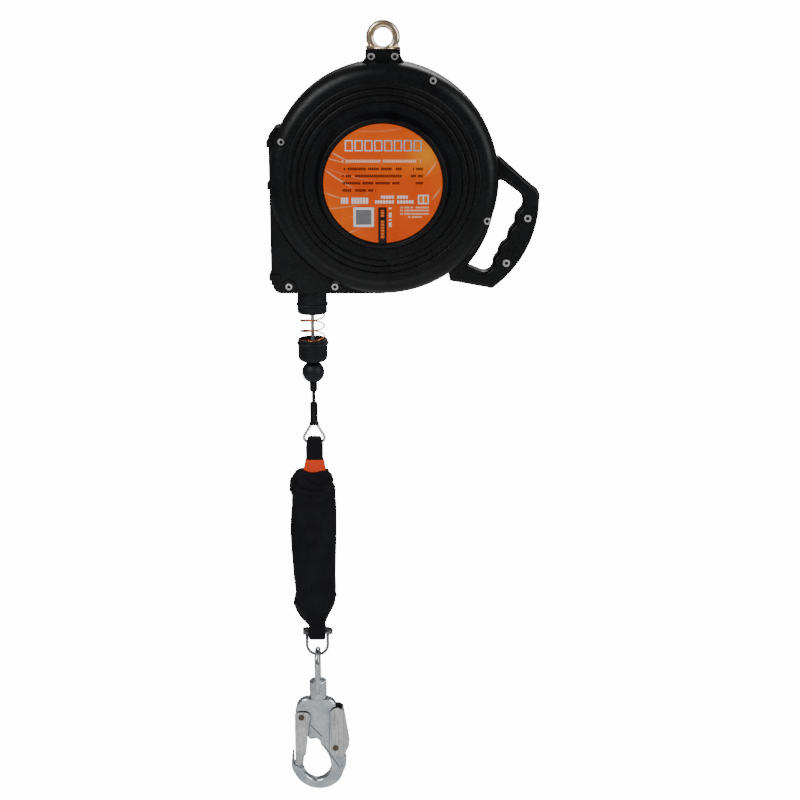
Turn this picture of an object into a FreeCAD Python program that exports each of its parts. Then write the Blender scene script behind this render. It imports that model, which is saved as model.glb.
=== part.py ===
"""Self retracting lifeline: cable drum housing, shock bumper, energy absorber and swivel snap hook.

Frame: millimetres, +Z up, +X right as seen from the front, -Y towards the front.
The origin is the centre of the hole in the anchor eye. The drum turns about a Y axis below it.
"""
import FreeCAD, Part
import math
import os

Vector = FreeCAD.Vector

# --- clearances ---------------------------------------------------------------
SEAT_GAP = 0.3            # between bodies that face each other
RUN_FIT = 0.05            # radial clearance of a shaft in its bearing
SCREW_FIT = 0.15          # radial clearance of a screw in its hole

# --- housing ------------------------------------------------------------------
HOUSING_RADIUS = 140.0
EYE_RISE = 27.0           # top of the dome up to the eye centre
DRUM_DROP = HOUSING_RADIUS + EYE_RISE
WALL = 4.0
FACE_DEPTH = 41.0         # split plane out to the smooth rim face
RIM_ROUND = 18.0          # rounding of the rim edge
BAND_DEPTH = 45.0         # split plane out to the flat band round the boss
RIDGE_INNER = 93.6
RIDGE_PITCH = 8.0
RIDGE_COUNT = 3
RIDGE_HEIGHT = 1.6
GROOVE_WIDTH = 1.6
BOSS_BASE_RADIUS = 82.0
BOSS_TOP_RADIUS = 77.5
RECESS_RADIUS = 73.0      # the label sits in this recess
LABEL_RADIUS = 70.8
LABEL_THICKNESS = 0.6
FRONT_BOSS_DEPTH = 62.0
REAR_BOSS_DEPTH = 54.0
RECESS_DEPTH = 2.2

# --- neck and eye -------------------------------------------------------------
EYE_HOLE_RADIUS = 11.0
EYE_OUTER_RADIUS = 20.4
EYE_LAND = 4.4            # length of the straight land in the hole
COLLAR_RADIUS = 20.8
COLLAR_THICKNESS = 3.4
NECK_TOP = -13.4
NECK_WIDTH = 42.0
NECK_HALF_DEPTH = 21.5
SHANK_RADIUS = 6.0
YOKE_TOP = -36.0
YOKE_HEIGHT = 18.0
YOKE_WIDTH = 36.0

# --- outlet box ---------------------------------------------------------------
BOX_INSET = 4.0           # the dome's left edge in to the flat side
BOX_LEFT = BOX_INSET - HOUSING_RADIUS
BOX_TOP_RISE = 62.5       # drum axis up to the box's top edge
BOX_PROUD = 1.0           # the box's bottom edge below the dome
BOX_BOTTOM_DROP = HOUSING_RADIUS + BOX_PROUD
BOX_HALF_DEPTH = 23.0
BOX_CORNER = 10.0
COVER_THICKNESS = 2.0
TAB_RISES = (42.5, -8.3, -121.0)
TAB_HEIGHT = 8.0
TAB_REACH = 9.0
TAB_PROUD = 2.4

AXIS_Z = -DRUM_DROP
BOX_BOTTOM = AXIS_Z - BOX_BOTTOM_DROP

# --- carrying handle ----------------------------------------------------------
HANDLE_HALF_DEPTH = 13.0
HANDLE_ROUND = 5.0         # rounding of the grip's faces
HANDLE_CORNER = 5.0        # rounding between the stretches of its outline

# --- screws -------------------------------------------------------------------
SCREW_RADIUS = 2.5
HEAD_RADIUS = 4.55
HEAD_HEIGHT = 4.0
SOCKET_RADIUS = 2.3
POCKET_RADIUS = 5.4
SCREW_BOSS_RADIUS = 8.2
NUT_RADIUS = 4.6
NUT_HEIGHT = 3.8

# --- cable and drum -----------------------------------------------------------
CABLE_RADIUS = 2.4
WIND_RADIUS = 89.5        # centre line of the outer layer: the cable leaves here
WIND_TURNS = 6            # turns side by side in one layer
WIND_LAYERS = 5
LAYER_STEP = 4.3
FLANGE_RADIUS = 95.0
FLANGE_THICKNESS = 2.0
CORE_WALL = 4.0
WEB_THICKNESS = 3.0
HUB_RADIUS = 14.0
SHAFT_RADIUS = 8.0
SHAFT_END_RADIUS = 6.0
BUSH_WALL = 1.0

# --- frame plates and brake ---------------------------------------------------
PLATE_GAP = 11.5          # a drum flange's inner face out to the plate beside it
PLATE_THICKNESS = 3.0
PLATE_RADIUS = 90.0
STRAP_WIDTH = 40.0
LINING = 1.0
RING_THICKNESS = 2.0
RING_OUTER = 80.0
TOOTH_COUNT = 24
TOOTH_PHASE = 9.3         # degrees; sets a steep face just ahead of each swung-out pawl
TOOTH_TIP_RADIUS = 56.4
TOOTH_ROOT_RADIUS = 60.5
PAWL_COUNT = 3
PAWL_PIVOT_RADIUS = 44.0
PAWL_PIN_RADIUS = 3.0
PAWL_THICKNESS = 4.5
SPRING_INNER = 17.0
SPRING_OUTER = 57.0
SPRING_STRIP = 1.4
SPRING_TURNS = 8

# --- bumper and coil spring ---------------------------------------------------
CUP_RADIUS = 18.5
BEAD_PROUD = 1.5
UPPER_CUP_DROP = 29.0
UPPER_CUP_BOTTOM = BOX_BOTTOM - UPPER_CUP_DROP
CUP_SPACING = 33.6
LOWER_CUP_TOP = UPPER_CUP_BOTTOM - CUP_SPACING
LOWER_CUP_HEIGHT = 28.9
CUP_BORE = 16.3
SPRING_COIL_RADIUS = 15.0
SPRING_WIRE = 0.95
SPRING_PITCH = 13.3
BUMPER_TRAVEL = 24.0

# --- cable end ----------------------------------------------------------------
BALL_RADIUS = 14.2
COLLAR_TUBE_RADIUS = 4.9
SLEEVE_RADIUS = 4.85
SLEEVE_DROP = 83.3
SLEEVE_TOP = LOWER_CUP_TOP - SLEEVE_DROP
SLEEVE_LENGTH = 29.6
SLEEVE_BOTTOM = SLEEVE_TOP - SLEEVE_LENGTH
CABLE_TOP_DROP = 60.0     # drum axis down to the start of the straight cable
LOOP_WIRE = 1.9
LOOP_HALF_WIDTH = 13.1
LOOP_DROP = 23.7
LOOP_BAR_Z = SLEEVE_BOTTOM - LOOP_DROP
LOOP_CORNER = 6.0

# --- energy absorber ----------------------------------------------------------
STRAP_HALF_WIDTH = 11.0
STRAP_HOLE = 3.0
STRAP_FOLD = 9.2          # outer radius of the folded strap round its bar
STRAP_HALF_DEPTH = 6.0
UPPER_STRAP_DROP = 25.3
STRAP_END = LOOP_BAR_Z - UPPER_STRAP_DROP
PACK_HALF_WIDTH = 20.0
PACK_HALF_DEPTH = 8.5
PACK_LENGTH = 195.5
PACK_BOTTOM = STRAP_END - PACK_LENGTH
PACK_SHOWN = 8.5
POUCH_TOP = STRAP_END - PACK_SHOWN
POUCH_HALF_WIDTH = 32.5
POUCH_HALF_DEPTH = 14.5
POUCH_TAIL = 35.4
POUCH_BOTTOM = PACK_BOTTOM - POUCH_TAIL
POUCH_SHIFT = -3.5        # the pouch hangs a little to the left of the cable
LOWER_STRAP_HALF_WIDTH = 11.2
LOWER_FOLD = 12.8

# --- shackle and swivel -------------------------------------------------------
PIN_DROP = 42.3
PIN_Z = PACK_BOTTOM - PIN_DROP
PIN_RADIUS = 3.5
EAR_RADIUS = 6.0
BOW_WIRE = 2.0
BOW_HALF_WIDTH = 13.75
BOW_LENGTH = 33.4
BOW_BOTTOM = PIN_Z - BOW_LENGTH
BAIL_WIRE = 3.6
BARREL_RADIUS = 11.65
BARREL_DROP = 37.8
BARREL_TOP = BOW_BOTTOM - BARREL_DROP
BARREL_HEIGHT = 24.8
BAIL_BAR_DROP = 11.7
BAIL_BAR_Z = BARREL_TOP - BAIL_BAR_DROP
STUD_RADIUS = 4.0

# --- snap hook ----------------------------------------------------------------
HOOK_HALF_DEPTH = 6.5
HOOK_DROP = 159.1
HOOK_BOTTOM = BARREL_TOP - HOOK_DROP
GATE_PIVOT = (-22.6, BARREL_TOP - 51.1)
LEVER_PIVOT = (22.8, BARREL_TOP - 95.8)
GATE_HALF_DEPTH = 9.0
LEVER_HALF_DEPTH = 10.0
SHEET = 1.6               # sheet metal of the gate and the lever
RIVET_RADIUS = 2.2
HUB_DISC_RADIUS = 6.4     # body's boss round each pivot
GROOVE_DEPTH = 0.9
GROOVE_WIDTH_HOOK = 1.2
HOOK_GROOVES = (          # from and to, off the cable's line
    (-10.5, BARREL_TOP - 64.3, 4.0, BARREL_TOP - 80.7),
    (5.6, BARREL_TOP - 92.7, 27.4, BARREL_TOP - 127.1),
)

# --- worked out from the values above -----------------------------------------
CABLE_X = -WIND_RADIUS
FLOOR_TOP = BOX_BOTTOM + WALL
WIND_HALF_WIDTH = WIND_TURNS * CABLE_RADIUS + SEAT_GAP
FLANGE_FACE = WIND_HALF_WIDTH + SEAT_GAP
PLATE_DEPTH = FLANGE_FACE + PLATE_GAP
CORE_RADIUS = WIND_RADIUS - (WIND_LAYERS - 1) * LAYER_STEP - CABLE_RADIUS - 0.2
CORE_BORE = CORE_RADIUS - CORE_WALL
BALL_Z = LOWER_CUP_TOP - LOWER_CUP_HEIGHT - SEAT_GAP - BALL_RADIUS
FRONT = Vector(0, -1, 0)
REAR = Vector(0, 1, 0)
UP = Vector(0, 0, 1)
RIGHT = Vector(1, 0, 0)


# --- small shape tools --------------------------------------------------------
def outline(place, start, *steps):
    """Closed wire in a plane. A step of one point is a line; of two points, an arc through the first."""
    here = first = place(*start)
    edges = []
    for step in steps:
        points = [place(*point) for point in step]
        if len(points) == 1:
            edges.append(Part.LineSegment(here, points[0]).toShape())
        else:
            edges.append(Part.Arc(here, points[0], points[1]).toShape())
        here = points[-1]
    if here.distanceToPoint(first) > 1e-6:
        edges.append(Part.LineSegment(here, first).toShape())
    return Part.Wire(edges)


def lines(points):
    """Straight steps for outline()."""
    return [(point,) for point in points]


def slab(start, steps, y0, y1, x=0.0, z=0.0):
    """Plate between two Y planes with the given XZ outline."""
    wire = outline(lambda u, v: Vector(u + x, y0, v + z), start, *steps)
    return Part.Face(wire).extrude(Vector(0, y1 - y0, 0))


def side_slab(start, steps, x0, x1, z=0.0):
    """Plate between two X planes with the given YZ outline."""
    wire = outline(lambda u, v: Vector(x0, u, v + z), start, *steps)
    return Part.Face(wire).extrude(Vector(x1 - x0, 0, 0))


def turned(centre, direction, start, *steps):
    """Solid of revolution; points are (radius, height along the direction)."""
    side = UP if abs(direction.x) > 0.5 else RIGHT
    wire = outline(lambda r, h: centre + side * r + direction * h, start, *steps)
    return Part.Face(wire).revolve(centre, direction, 360)


def rod(centre, direction, radius, low, high):
    """Cylinder from low to high along the direction."""
    return Part.makeCylinder(radius, high - low, centre + direction * low, direction)


def ring(centre, direction, inner, outer, low, high):
    """Plain ring from low to high along the direction."""
    return rod(centre, direction, outer, low, high).cut(rod(centre, direction, inner, low - 1, high + 1))


def block(x0, x1, y0, y1, z0, z1):
    """Box between corner values."""
    return Part.makeBox(x1 - x0, y1 - y0, z1 - z0, Vector(x0, y0, z0))


def hexagon(centre, direction, corner_radius, low, high):
    """Hexagonal prism from low to high along the direction."""
    side = UP if abs(direction.x) > 0.5 else RIGHT
    other = direction.cross(side)
    points = []
    for i in range(7):
        angle = math.radians(60 * i)
        spoke = side * math.cos(angle) + other * math.sin(angle)
        points.append(centre + direction * low + spoke * corner_radius)
    return Part.Face(Part.makePolygon(points)).extrude(direction * (high - low))


def swept(path, radius):
    """Round wire of the given radius along a path of tangent lines and arcs."""
    edge = path.OrderedEdges[0]
    start = edge.valueAt(edge.FirstParameter)
    tangent = edge.tangentAt(edge.FirstParameter)
    section = Part.Wire(Part.makeCircle(radius, start, tangent))
    return path.makePipeShell([section], True, False)


def rounded_wire(x, y, z, half_x, half_y, corner):
    """Level rounded rectangle."""
    diagonal = corner * (1 - math.sqrt(0.5))

    def place(u, v):
        return Vector(x + u, y + v, z)

    steps = []
    for sx, sy in ((1, 1), (-1, 1), (-1, -1), (1, -1)):
        side_end = (sx * half_x, sy * (half_y - corner))
        end_side = (sx * (half_x - corner), sy * half_y)
        middle = (sx * (half_x - diagonal), sy * (half_y - diagonal))
        if sx == sy:
            steps += [(side_end,), (middle, end_side)]
        else:
            steps += [(end_side,), (middle, side_end)]
    return outline(place, (half_x, -(half_y - corner)), *steps)


def join(shapes):
    """One solid from overlapping shapes."""
    whole = shapes[0]
    for shape in shapes[1:]:
        whole = whole.fuse(shape)
    return whole.removeSplitter()


NODES = {}


def node(name, *shapes):
    """Keep the solids of one named sub-part."""
    solids = []
    for shape in shapes:
        solids.extend(shape.Solids)
    NODES[name] = solids[0] if len(solids) == 1 else Part.makeCompound(solids)


# --- screw places, (x, z) from the drum axis ----------------------------------
RIM_SCREWS = (
    (59.3, HOUSING_RADIUS - 21.9),
    (HOUSING_RADIUS - 14.2, -48.6),
    (BOX_LEFT + 14.3, BOX_TOP_RISE - 16.1),
)
BOX_SCREWS = (
    (BOX_LEFT + 19.4, 8.6 - BOX_BOTTOM_DROP),
    (CABLE_X + 29.7, 8.6 - BOX_BOTTOM_DROP),
)
HANDLE_SCREWS = (
    (HOUSING_RADIUS + 36.6, -49.1),
    (HOUSING_RADIUS + 11.4, -104.6),
)
NECK_SCREWS = ((-14.0, DRUM_DROP - 21.6), (14.0, DRUM_DROP - 21.6))
RIM_SEAT = 33.0           # split plane out to the seats of the rim screws
BOX_SEAT = BOX_HALF_DEPTH - 2.0
NECK_SEAT = NECK_HALF_DEPTH - HEAD_HEIGHT + 0.6
HANDLE_SEAT = HANDLE_HALF_DEPTH - 1.5


def at_drum(x, z):
    """Point on the split plane, from the drum axis."""
    return Vector(x, 0, AXIS_Z + z)


# --- housing shells -----------------------------------------------------------
def dome_steps(boss_depth):
    """Outer profile of one housing half, from the axis out to the rim."""
    steps = [
        ((RECESS_RADIUS, boss_depth - RECESS_DEPTH),),
        ((RECESS_RADIUS, boss_depth - 0.8),),
        ((RECESS_RADIUS + 0.3, boss_depth - 0.2), (RECESS_RADIUS + 1.0, boss_depth)),
        ((BOSS_TOP_RADIUS - 2.2, boss_depth),),
        ((BOSS_TOP_RADIUS - 0.6, boss_depth - 0.7), (BOSS_TOP_RADIUS, boss_depth - 2.4)),
        ((BOSS_BASE_RADIUS, BAND_DEPTH),),
        ((RIDGE_INNER, BAND_DEPTH),),
    ]
    fall = (BAND_DEPTH - FACE_DEPTH) / RIDGE_COUNT
    for i in range(RIDGE_COUNT):
        inner = RIDGE_INNER + i * RIDGE_PITCH
        base = BAND_DEPTH - (i + 1) * fall
        crest = base + RIDGE_HEIGHT
        start = inner + GROOVE_WIDTH
        end = inner + RIDGE_PITCH
        steps.append(((inner, base),))
        steps.append(((start, base),))
        steps.append(((start + 0.4, crest - 0.4), (start + 1.4, crest)))
        steps.append(((end - 1.4, crest),))
        steps.append(((end - 0.4, crest - 0.4), (end, base)))
    centre = HOUSING_RADIUS - RIM_ROUND
    slant = RIM_ROUND * math.sqrt(0.5)
    edge = FACE_DEPTH - RIM_ROUND
    steps.append(((centre, FACE_DEPTH),))
    steps.append(((centre + slant, edge + slant), (HOUSING_RADIUS, edge)))
    steps.append(((HOUSING_RADIUS, 0),))
    steps.append(((0, 0),))
    return steps


def dome(direction, boss_depth):
    """Solid envelope of one round housing half."""
    return turned(at_drum(0, 0), direction, (0, boss_depth - RECESS_DEPTH), *dome_steps(boss_depth))


def dome_cavity(direction, boss_depth):
    """Room inside one round housing half."""
    floor = boss_depth - RECESS_DEPTH - WALL
    centre = HOUSING_RADIUS - RIM_ROUND
    inner_round = RIM_ROUND - WALL
    slant = inner_round * math.sqrt(0.5)
    edge = FACE_DEPTH - RIM_ROUND
    return turned(
        at_drum(0, 0), direction, (0, -1),
        ((HOUSING_RADIUS - WALL, -1),),
        ((HOUSING_RADIUS - WALL, edge),),
        ((centre + slant, edge + slant), (centre, edge + inner_round)),
        ((BOSS_TOP_RADIUS - WALL, FACE_DEPTH - WALL),),
        ((BOSS_TOP_RADIUS - WALL - 1, floor),),
        ((0, floor),),
    )


def box_outline(grow):
    """Outlet box outline from the drum axis; grow is negative for the room inside."""
    left = BOX_LEFT - grow
    bottom = -BOX_BOTTOM_DROP - grow
    top = BOX_TOP_RISE + grow
    corner = BOX_CORNER + min(grow, 0.0)
    bend = corner * (1 - math.sqrt(0.5))
    start = (left + 36 - grow, top)
    return start, [
        ((left + corner, top),),
        ((left + bend, top - bend), (left, top - corner)),
        ((left, bottom + corner),),
        ((left + bend, bottom + bend), (left + corner, bottom)),
        ((0 + grow, bottom),),
        ((44, 11 - HOUSING_RADIUS),),
        ((0, -60),),
        ((left + 60, 0),),
    ]


def neck_outline():
    """Neck that carries the eye, flaring into the round housing, from the drum axis."""
    half = NECK_WIDTH / 2
    top = DRUM_DROP + NECK_TOP
    foot = math.sqrt(HOUSING_RADIUS ** 2 - 50 ** 2) - 0.6
    return (-half + 2, top), [
        ((half - 2, top),),
        ((half - 0.6, top - 0.6), (half, top - 2)),
        ((half, top - 9),),
        ((half + 6.5, top - 18.6), (50, foot)),
        ((30, foot - 30),),
        ((-30, foot - 30),),
        ((-50, foot),),
        ((-half - 6.5, top - 18.6), (-half, top - 9)),
        ((-half, top - 2),),
        ((-half + 0.6, top - 0.6), (-half + 2, top)),
    ]


def hand_opening(y0, y1):
    """Opening for the hand, with finger waves on the grip side."""
    r = HOUSING_RADIUS
    return slab((r - 4, -6), [
        ((r + 2, -3.2), (r + 9.5, -6.5)),
        ((r + 23, -16.2),),
        ((r + 30.4, -27), (r + 28.6, -38)),
        ((r + 22.3, -46), (r + 21.7, -57)),
        ((r + 14.3, -66), (r + 12.7, -77)),
        ((r + 4.0, -84), (r + 1.0, -95)),
        ((r - 3.0, -99), (r - 4.6, -106)),
        ((r - 8.5, -113.6), (r - 19.4, -115.6)),
        ((r - 36.5, -108.5),),
        ((r - 8.8, -58), (r - 4, -6)),
    ], y0, y1, z=AXIS_Z)


def handle_half(side):
    """Half of the carrying handle, front (side -1) or rear (side 1), with rounded edges."""
    r = HOUSING_RADIUS
    face = side * HANDLE_HALF_DEPTH
    blank = slab((r - 18, 22), [
        ((r + 1, 26),),
        ((r + 43, -11),),
        ((r + 49.6, -16.5), (r + 51, -26)),
        ((r + 50.5, -39),),
        ((r + 33.5, -94), (r - 1, -134.2)),
        ((r - 5.5, -137.2), (r - 11, -136.4)),
        ((r - 58, -127.9),),
        ((r - 62, -108),),
    ], min(0, face), max(0, face), z=AXIS_Z)
    solid = blank.cut(hand_opening(-HANDLE_HALF_DEPTH - 1, HANDLE_HALF_DEPTH + 1))
    upright = [e for e in solid.Edges if abs(e.tangentAt(e.FirstParameter).y) > 0.999
               and e.CenterOfMass.x > r - 8]
    solid = solid.makeFillet(HANDLE_CORNER, upright)
    edges = [e for e in solid.Edges if all(abs(v.Point.y - face) < 1e-6 for v in e.Vertexes)]
    return solid.makeFillet(HANDLE_ROUND, edges)


def screw_rows():
    """Every housing screw as (x, z, depth of its seat from the split plane)."""
    groups = ((RIM_SCREWS, RIM_SEAT), (BOX_SCREWS, BOX_SEAT), (NECK_SCREWS, NECK_SEAT), (HANDLE_SCREWS, HANDLE_SEAT))
    return [(x, z, seat) for places, seat in groups for x, z in places]


def shell(side, boss_depth):
    """Front (side -1) or rear (side 1) housing half with its bosses and pockets, and its half of the grip."""
    direction = Vector(0, side, 0)
    box_face = side * BOX_HALF_DEPTH
    neck_face = side * NECK_HALF_DEPTH

    def flat(start_steps, depth, over=0.0):
        low, high = sorted((-side * over, side * depth))
        return slab(start_steps[0], start_steps[1], low, high, z=AXIS_Z)

    box = flat(box_outline(0.0), abs(box_face))
    neck = flat(neck_outline(), abs(neck_face))
    size = 2 * HOUSING_RADIUS
    flat_left = block(BOX_LEFT - size, BOX_LEFT, -size, size, AXIS_Z - size, AXIS_Z + size)
    flat_room = block(BOX_LEFT - size, BOX_LEFT + WALL, -size, size, AXIS_Z - size, AXIS_Z + size)
    envelope = join([dome(direction, boss_depth), box, neck]).cut(flat_left)
    body = envelope.cut(dome_cavity(direction, boss_depth).cut(flat_room))
    body = body.cut(flat(box_outline(-WALL), BOX_HALF_DEPTH - WALL, over=1.0))
    cylinder = rod(at_drum(0, 0), direction, HOUSING_RADIUS + SEAT_GAP, -1, FACE_DEPTH)
    grip = handle_half(side).cut(cylinder)
    for x, z in RIM_SCREWS:
        body = body.fuse(rod(at_drum(x, z), direction, SCREW_BOSS_RADIUS, 0, RIM_SEAT + 1).common(envelope))
    for x, z in BOX_SCREWS:
        body = body.fuse(rod(at_drum(x, z), direction, SCREW_BOSS_RADIUS, 0, BOX_SEAT + HEAD_HEIGHT))
    socket_low = PLATE_DEPTH + PLATE_THICKNESS + 11.5
    socket = ring(at_drum(0, 0), direction, SHAFT_END_RADIUS + SCREW_FIT, SHAFT_END_RADIUS + 6,
                  socket_low, boss_depth - RECESS_DEPTH - WALL + 1)
    body = body.fuse(socket)
    for x, z, seat in screw_rows():
        place = at_drum(x, z)
        hole = rod(place, direction, SCREW_RADIUS + SCREW_FIT, -1, boss_depth + 9)
        hole = hole.fuse(rod(place, direction, POCKET_RADIUS, seat, boss_depth + 9))
        body = body.cut(hole)
        grip = grip.cut(hole)
    shank_room = rod(Vector(), UP, SHANK_RADIUS + SEAT_GAP, YOKE_TOP - 4, NECK_TOP + 1)
    outlet = rod(Vector(CABLE_X, 0, 0), UP, CUP_RADIUS - 4, BOX_BOTTOM - 1, FLOOR_TOP + 1)
    body = body.cut(shank_room).cut(outlet)
    return body.removeSplitter(), grip.removeSplitter()


def side_cover():
    """Thin cover on the box's left edge with clip tabs that wrap onto both faces."""
    left = BOX_LEFT - SEAT_GAP
    low = AXIS_Z - BOX_BOTTOM_DROP + BOX_CORNER
    high = AXIS_Z + BOX_TOP_RISE - BOX_CORNER
    parts = [block(left - COVER_THICKNESS, left, -BOX_HALF_DEPTH + 1, BOX_HALF_DEPTH - 1, low, high)]
    depth = BOX_HALF_DEPTH + SEAT_GAP
    for rise in TAB_RISES:
        z0 = AXIS_Z + rise - TAB_HEIGHT / 2
        z1 = z0 + TAB_HEIGHT
        outer = left - COVER_THICKNESS - TAB_PROUD
        back = block(outer, left, -depth - SHEET, depth + SHEET, z0, z1)
        parts.append(back.cut(block(left - 0.01, left + 1, -depth, depth, z0 - 1, z1 + 1)))
        for side in (-1, 1):
            y0, y1 = sorted((side * depth, side * (depth + SHEET)))
            parts.append(block(left - 0.5, left + TAB_REACH, y0, y1, z0, z1))
    far = 2 * HOUSING_RADIUS
    round_part = rod(at_drum(0, 0), REAR, HOUSING_RADIUS + SEAT_GAP, -far, far)
    beyond = block(-far, left, -far, far, AXIS_Z - far, AXIS_Z + far)
    return join(parts).cut(round_part.cut(beyond))


def socket_screw(x, z, seat):
    """Cap screw from the front, through to its nut at the back."""
    place = at_drum(x, z)
    head = rod(place, FRONT, HEAD_RADIUS, seat, seat + HEAD_HEIGHT)
    head = head.makeChamfer(0.5, [e for e in head.Edges if abs(e.CenterOfMass.y + seat + HEAD_HEIGHT) < 1e-6])
    screw = head.fuse(rod(place, REAR, SCREW_RADIUS, -seat - 0.1, seat + NUT_HEIGHT))
    return screw.cut(hexagon(place, FRONT, SOCKET_RADIUS, seat + 1.4, seat + HEAD_HEIGHT + 1)).removeSplitter()


def rear_nut(x, z, seat):
    """Hexagon nut at the back of a housing screw."""
    place = at_drum(x, z)
    nut = hexagon(place, REAR, NUT_RADIUS, seat, seat + NUT_HEIGHT)
    return nut.cut(rod(place, REAR, SCREW_RADIUS + SCREW_FIT, seat - 1, seat + NUT_HEIGHT + 1))


def housing():
    """Shells, side cover, labels and the screws that hold the halves together."""
    node("front_shell", *shell(-1, FRONT_BOSS_DEPTH))
    node("rear_shell", *shell(1, REAR_BOSS_DEPTH))
    node("side_cover", side_cover())
    for name, direction, depth in (("front_label", FRONT, FRONT_BOSS_DEPTH), ("rear_label", REAR, REAR_BOSS_DEPTH)):
        floor = depth - RECESS_DEPTH
        node(name, rod(at_drum(0, 0), direction, LABEL_RADIUS, floor, floor + LABEL_THICKNESS))
    node("rim_screws", *[socket_screw(x, z, RIM_SEAT) for x, z in RIM_SCREWS],
         *[socket_screw(x, z, BOX_SEAT) for x, z in BOX_SCREWS])
    node("neck_screws", *[socket_screw(x, z, NECK_SEAT) for x, z in NECK_SCREWS])
    node("handle_screws", *[socket_screw(x, z, HANDLE_SEAT) for x, z in HANDLE_SCREWS])
    node("rear_nuts", *[rear_nut(x, z, seat) for x, z, seat in screw_rows()])


# --- anchor eye and yoke ------------------------------------------------------
def anchor():
    """Swivel eye, its nut and washer, and the yoke block that carries it."""
    centre = Vector()
    tube = (EYE_OUTER_RADIUS - EYE_HOLE_RADIUS) / 2
    land = EYE_LAND / 2
    swell = tube * 1.08
    eye_ring = turned(
        centre, REAR, (EYE_HOLE_RADIUS, -land),
        ((EYE_HOLE_RADIUS + tube * 0.35, -swell * 0.86), (EYE_HOLE_RADIUS + tube, -swell)),
        ((EYE_OUTER_RADIUS - tube * 0.3, -swell * 0.7), (EYE_OUTER_RADIUS, 0)),
        ((EYE_OUTER_RADIUS - tube * 0.3, swell * 0.7), (EYE_HOLE_RADIUS + tube, swell)),
        ((EYE_HOLE_RADIUS + tube * 0.35, swell * 0.86), (EYE_HOLE_RADIUS, land)),
    )
    base = NECK_TOP + SEAT_GAP
    collar = turned(
        centre, UP, (0, base),
        ((COLLAR_RADIUS - 0.6, base),),
        ((COLLAR_RADIUS - 0.1, base + 0.3), (COLLAR_RADIUS, base + 1.0)),
        ((COLLAR_RADIUS - 0.6, base + COLLAR_THICKNESS - 1.2), (COLLAR_RADIUS - 4, base + COLLAR_THICKNESS),),
        ((0, base + COLLAR_THICKNESS),),
    )
    collar = collar.cut(rod(centre, REAR, EYE_HOLE_RADIUS + 1, -COLLAR_RADIUS, COLLAR_RADIUS))
    yoke_bottom = YOKE_TOP - YOKE_HEIGHT
    shank = rod(centre, UP, SHANK_RADIUS, yoke_bottom - 14.5, base + 0.5)
    above = block(-40, 40, -40, 40, base, 40)
    node("anchor_eye", join([eye_ring.common(above), collar, shank]))
    washer_top = yoke_bottom - SEAT_GAP
    node("eye_washer", ring(centre, UP, SHANK_RADIUS + SCREW_FIT, 11.5, washer_top - 2.5, washer_top))
    nut = hexagon(centre, UP, 10.9, washer_top - 12.5, washer_top - 2.5)
    node("eye_nut", nut.cut(rod(centre, UP, SHANK_RADIUS + 0.01, yoke_bottom - 30, yoke_bottom)))
    yoke = block(-YOKE_WIDTH / 2, YOKE_WIDTH / 2, -PLATE_DEPTH, PLATE_DEPTH, yoke_bottom, YOKE_TOP)
    yoke = yoke.cut(rod(centre, UP, SHANK_RADIUS + RUN_FIT, yoke_bottom - 1, YOKE_TOP + 1))
    bolts = []
    for side in (-1, 1):
        direction = Vector(0, side, 0)
        for x in (-11.5, 11.5):
            place = Vector(x, 0, YOKE_TOP - YOKE_HEIGHT / 2)
            yoke = yoke.cut(rod(place, direction, 3.0 + SCREW_FIT, PLATE_DEPTH - 12, PLATE_DEPTH + 1))
            head = hexagon(place, direction, 5.7, PLATE_DEPTH + PLATE_THICKNESS, PLATE_DEPTH + PLATE_THICKNESS + 4)
            bolts.append(head.fuse(rod(place, direction, 3.0, PLATE_DEPTH - 11.5, PLATE_DEPTH + PLATE_THICKNESS + 1)))
    node("yoke_block", yoke)
    node("yoke_bolts", *bolts)


# --- frame plates, shaft and brake --------------------------------------------
def frame_plate(side):
    """Steel plate that joins the shaft to the yoke."""
    direction = Vector(0, side, 0)
    low = PLATE_DEPTH
    plate = rod(at_drum(0, 0), direction, PLATE_RADIUS, low, low + PLATE_THICKNESS)
    y0, y1 = sorted((side * low, side * (low + PLATE_THICKNESS)))
    plate = plate.fuse(block(-STRAP_WIDTH / 2, STRAP_WIDTH / 2, y0, y1, AXIS_Z, YOKE_TOP))
    plate = plate.cut(rod(at_drum(0, 0), direction, SHAFT_END_RADIUS + SCREW_FIT, low - 1, low + 9))
    for x in (-11.5, 11.5):
        place = Vector(x, 0, YOKE_TOP - YOKE_HEIGHT / 2)
        plate = plate.cut(rod(place, direction, 3.0 + SCREW_FIT, low - 1, low + 9))
    if side < 0:
        for place in brake_bolt_places():
            plate = plate.cut(rod(place, direction, 2.0 + SCREW_FIT, low - 1, low + 9))
    return plate.removeSplitter()


def brake_bolt_places():
    """Six bolts outside the brake ring."""
    radius = RING_OUTER + 4.5
    return [at_drum(radius * math.cos(math.radians(60 * i)), radius * math.sin(math.radians(60 * i)))
            for i in range(6)]


def toothed_hole(low, high):
    """Ratchet-toothed bore: each tooth has a steep face against paying out and a sloping back."""
    points = []
    for i in range(TOOTH_COUNT):
        start = 2 * math.pi * i / TOOTH_COUNT + math.radians(TOOTH_PHASE)
        end = start + 2 * math.pi / TOOTH_COUNT
        points.append((TOOTH_TIP_RADIUS * math.cos(start), TOOTH_TIP_RADIUS * math.sin(start)))
        points.append((TOOTH_ROOT_RADIUS * math.cos(end - 0.01), TOOTH_ROOT_RADIUS * math.sin(end - 0.01)))
    return slab(points[0], lines(points[1:]), -high, -low, z=AXIS_Z)


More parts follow.
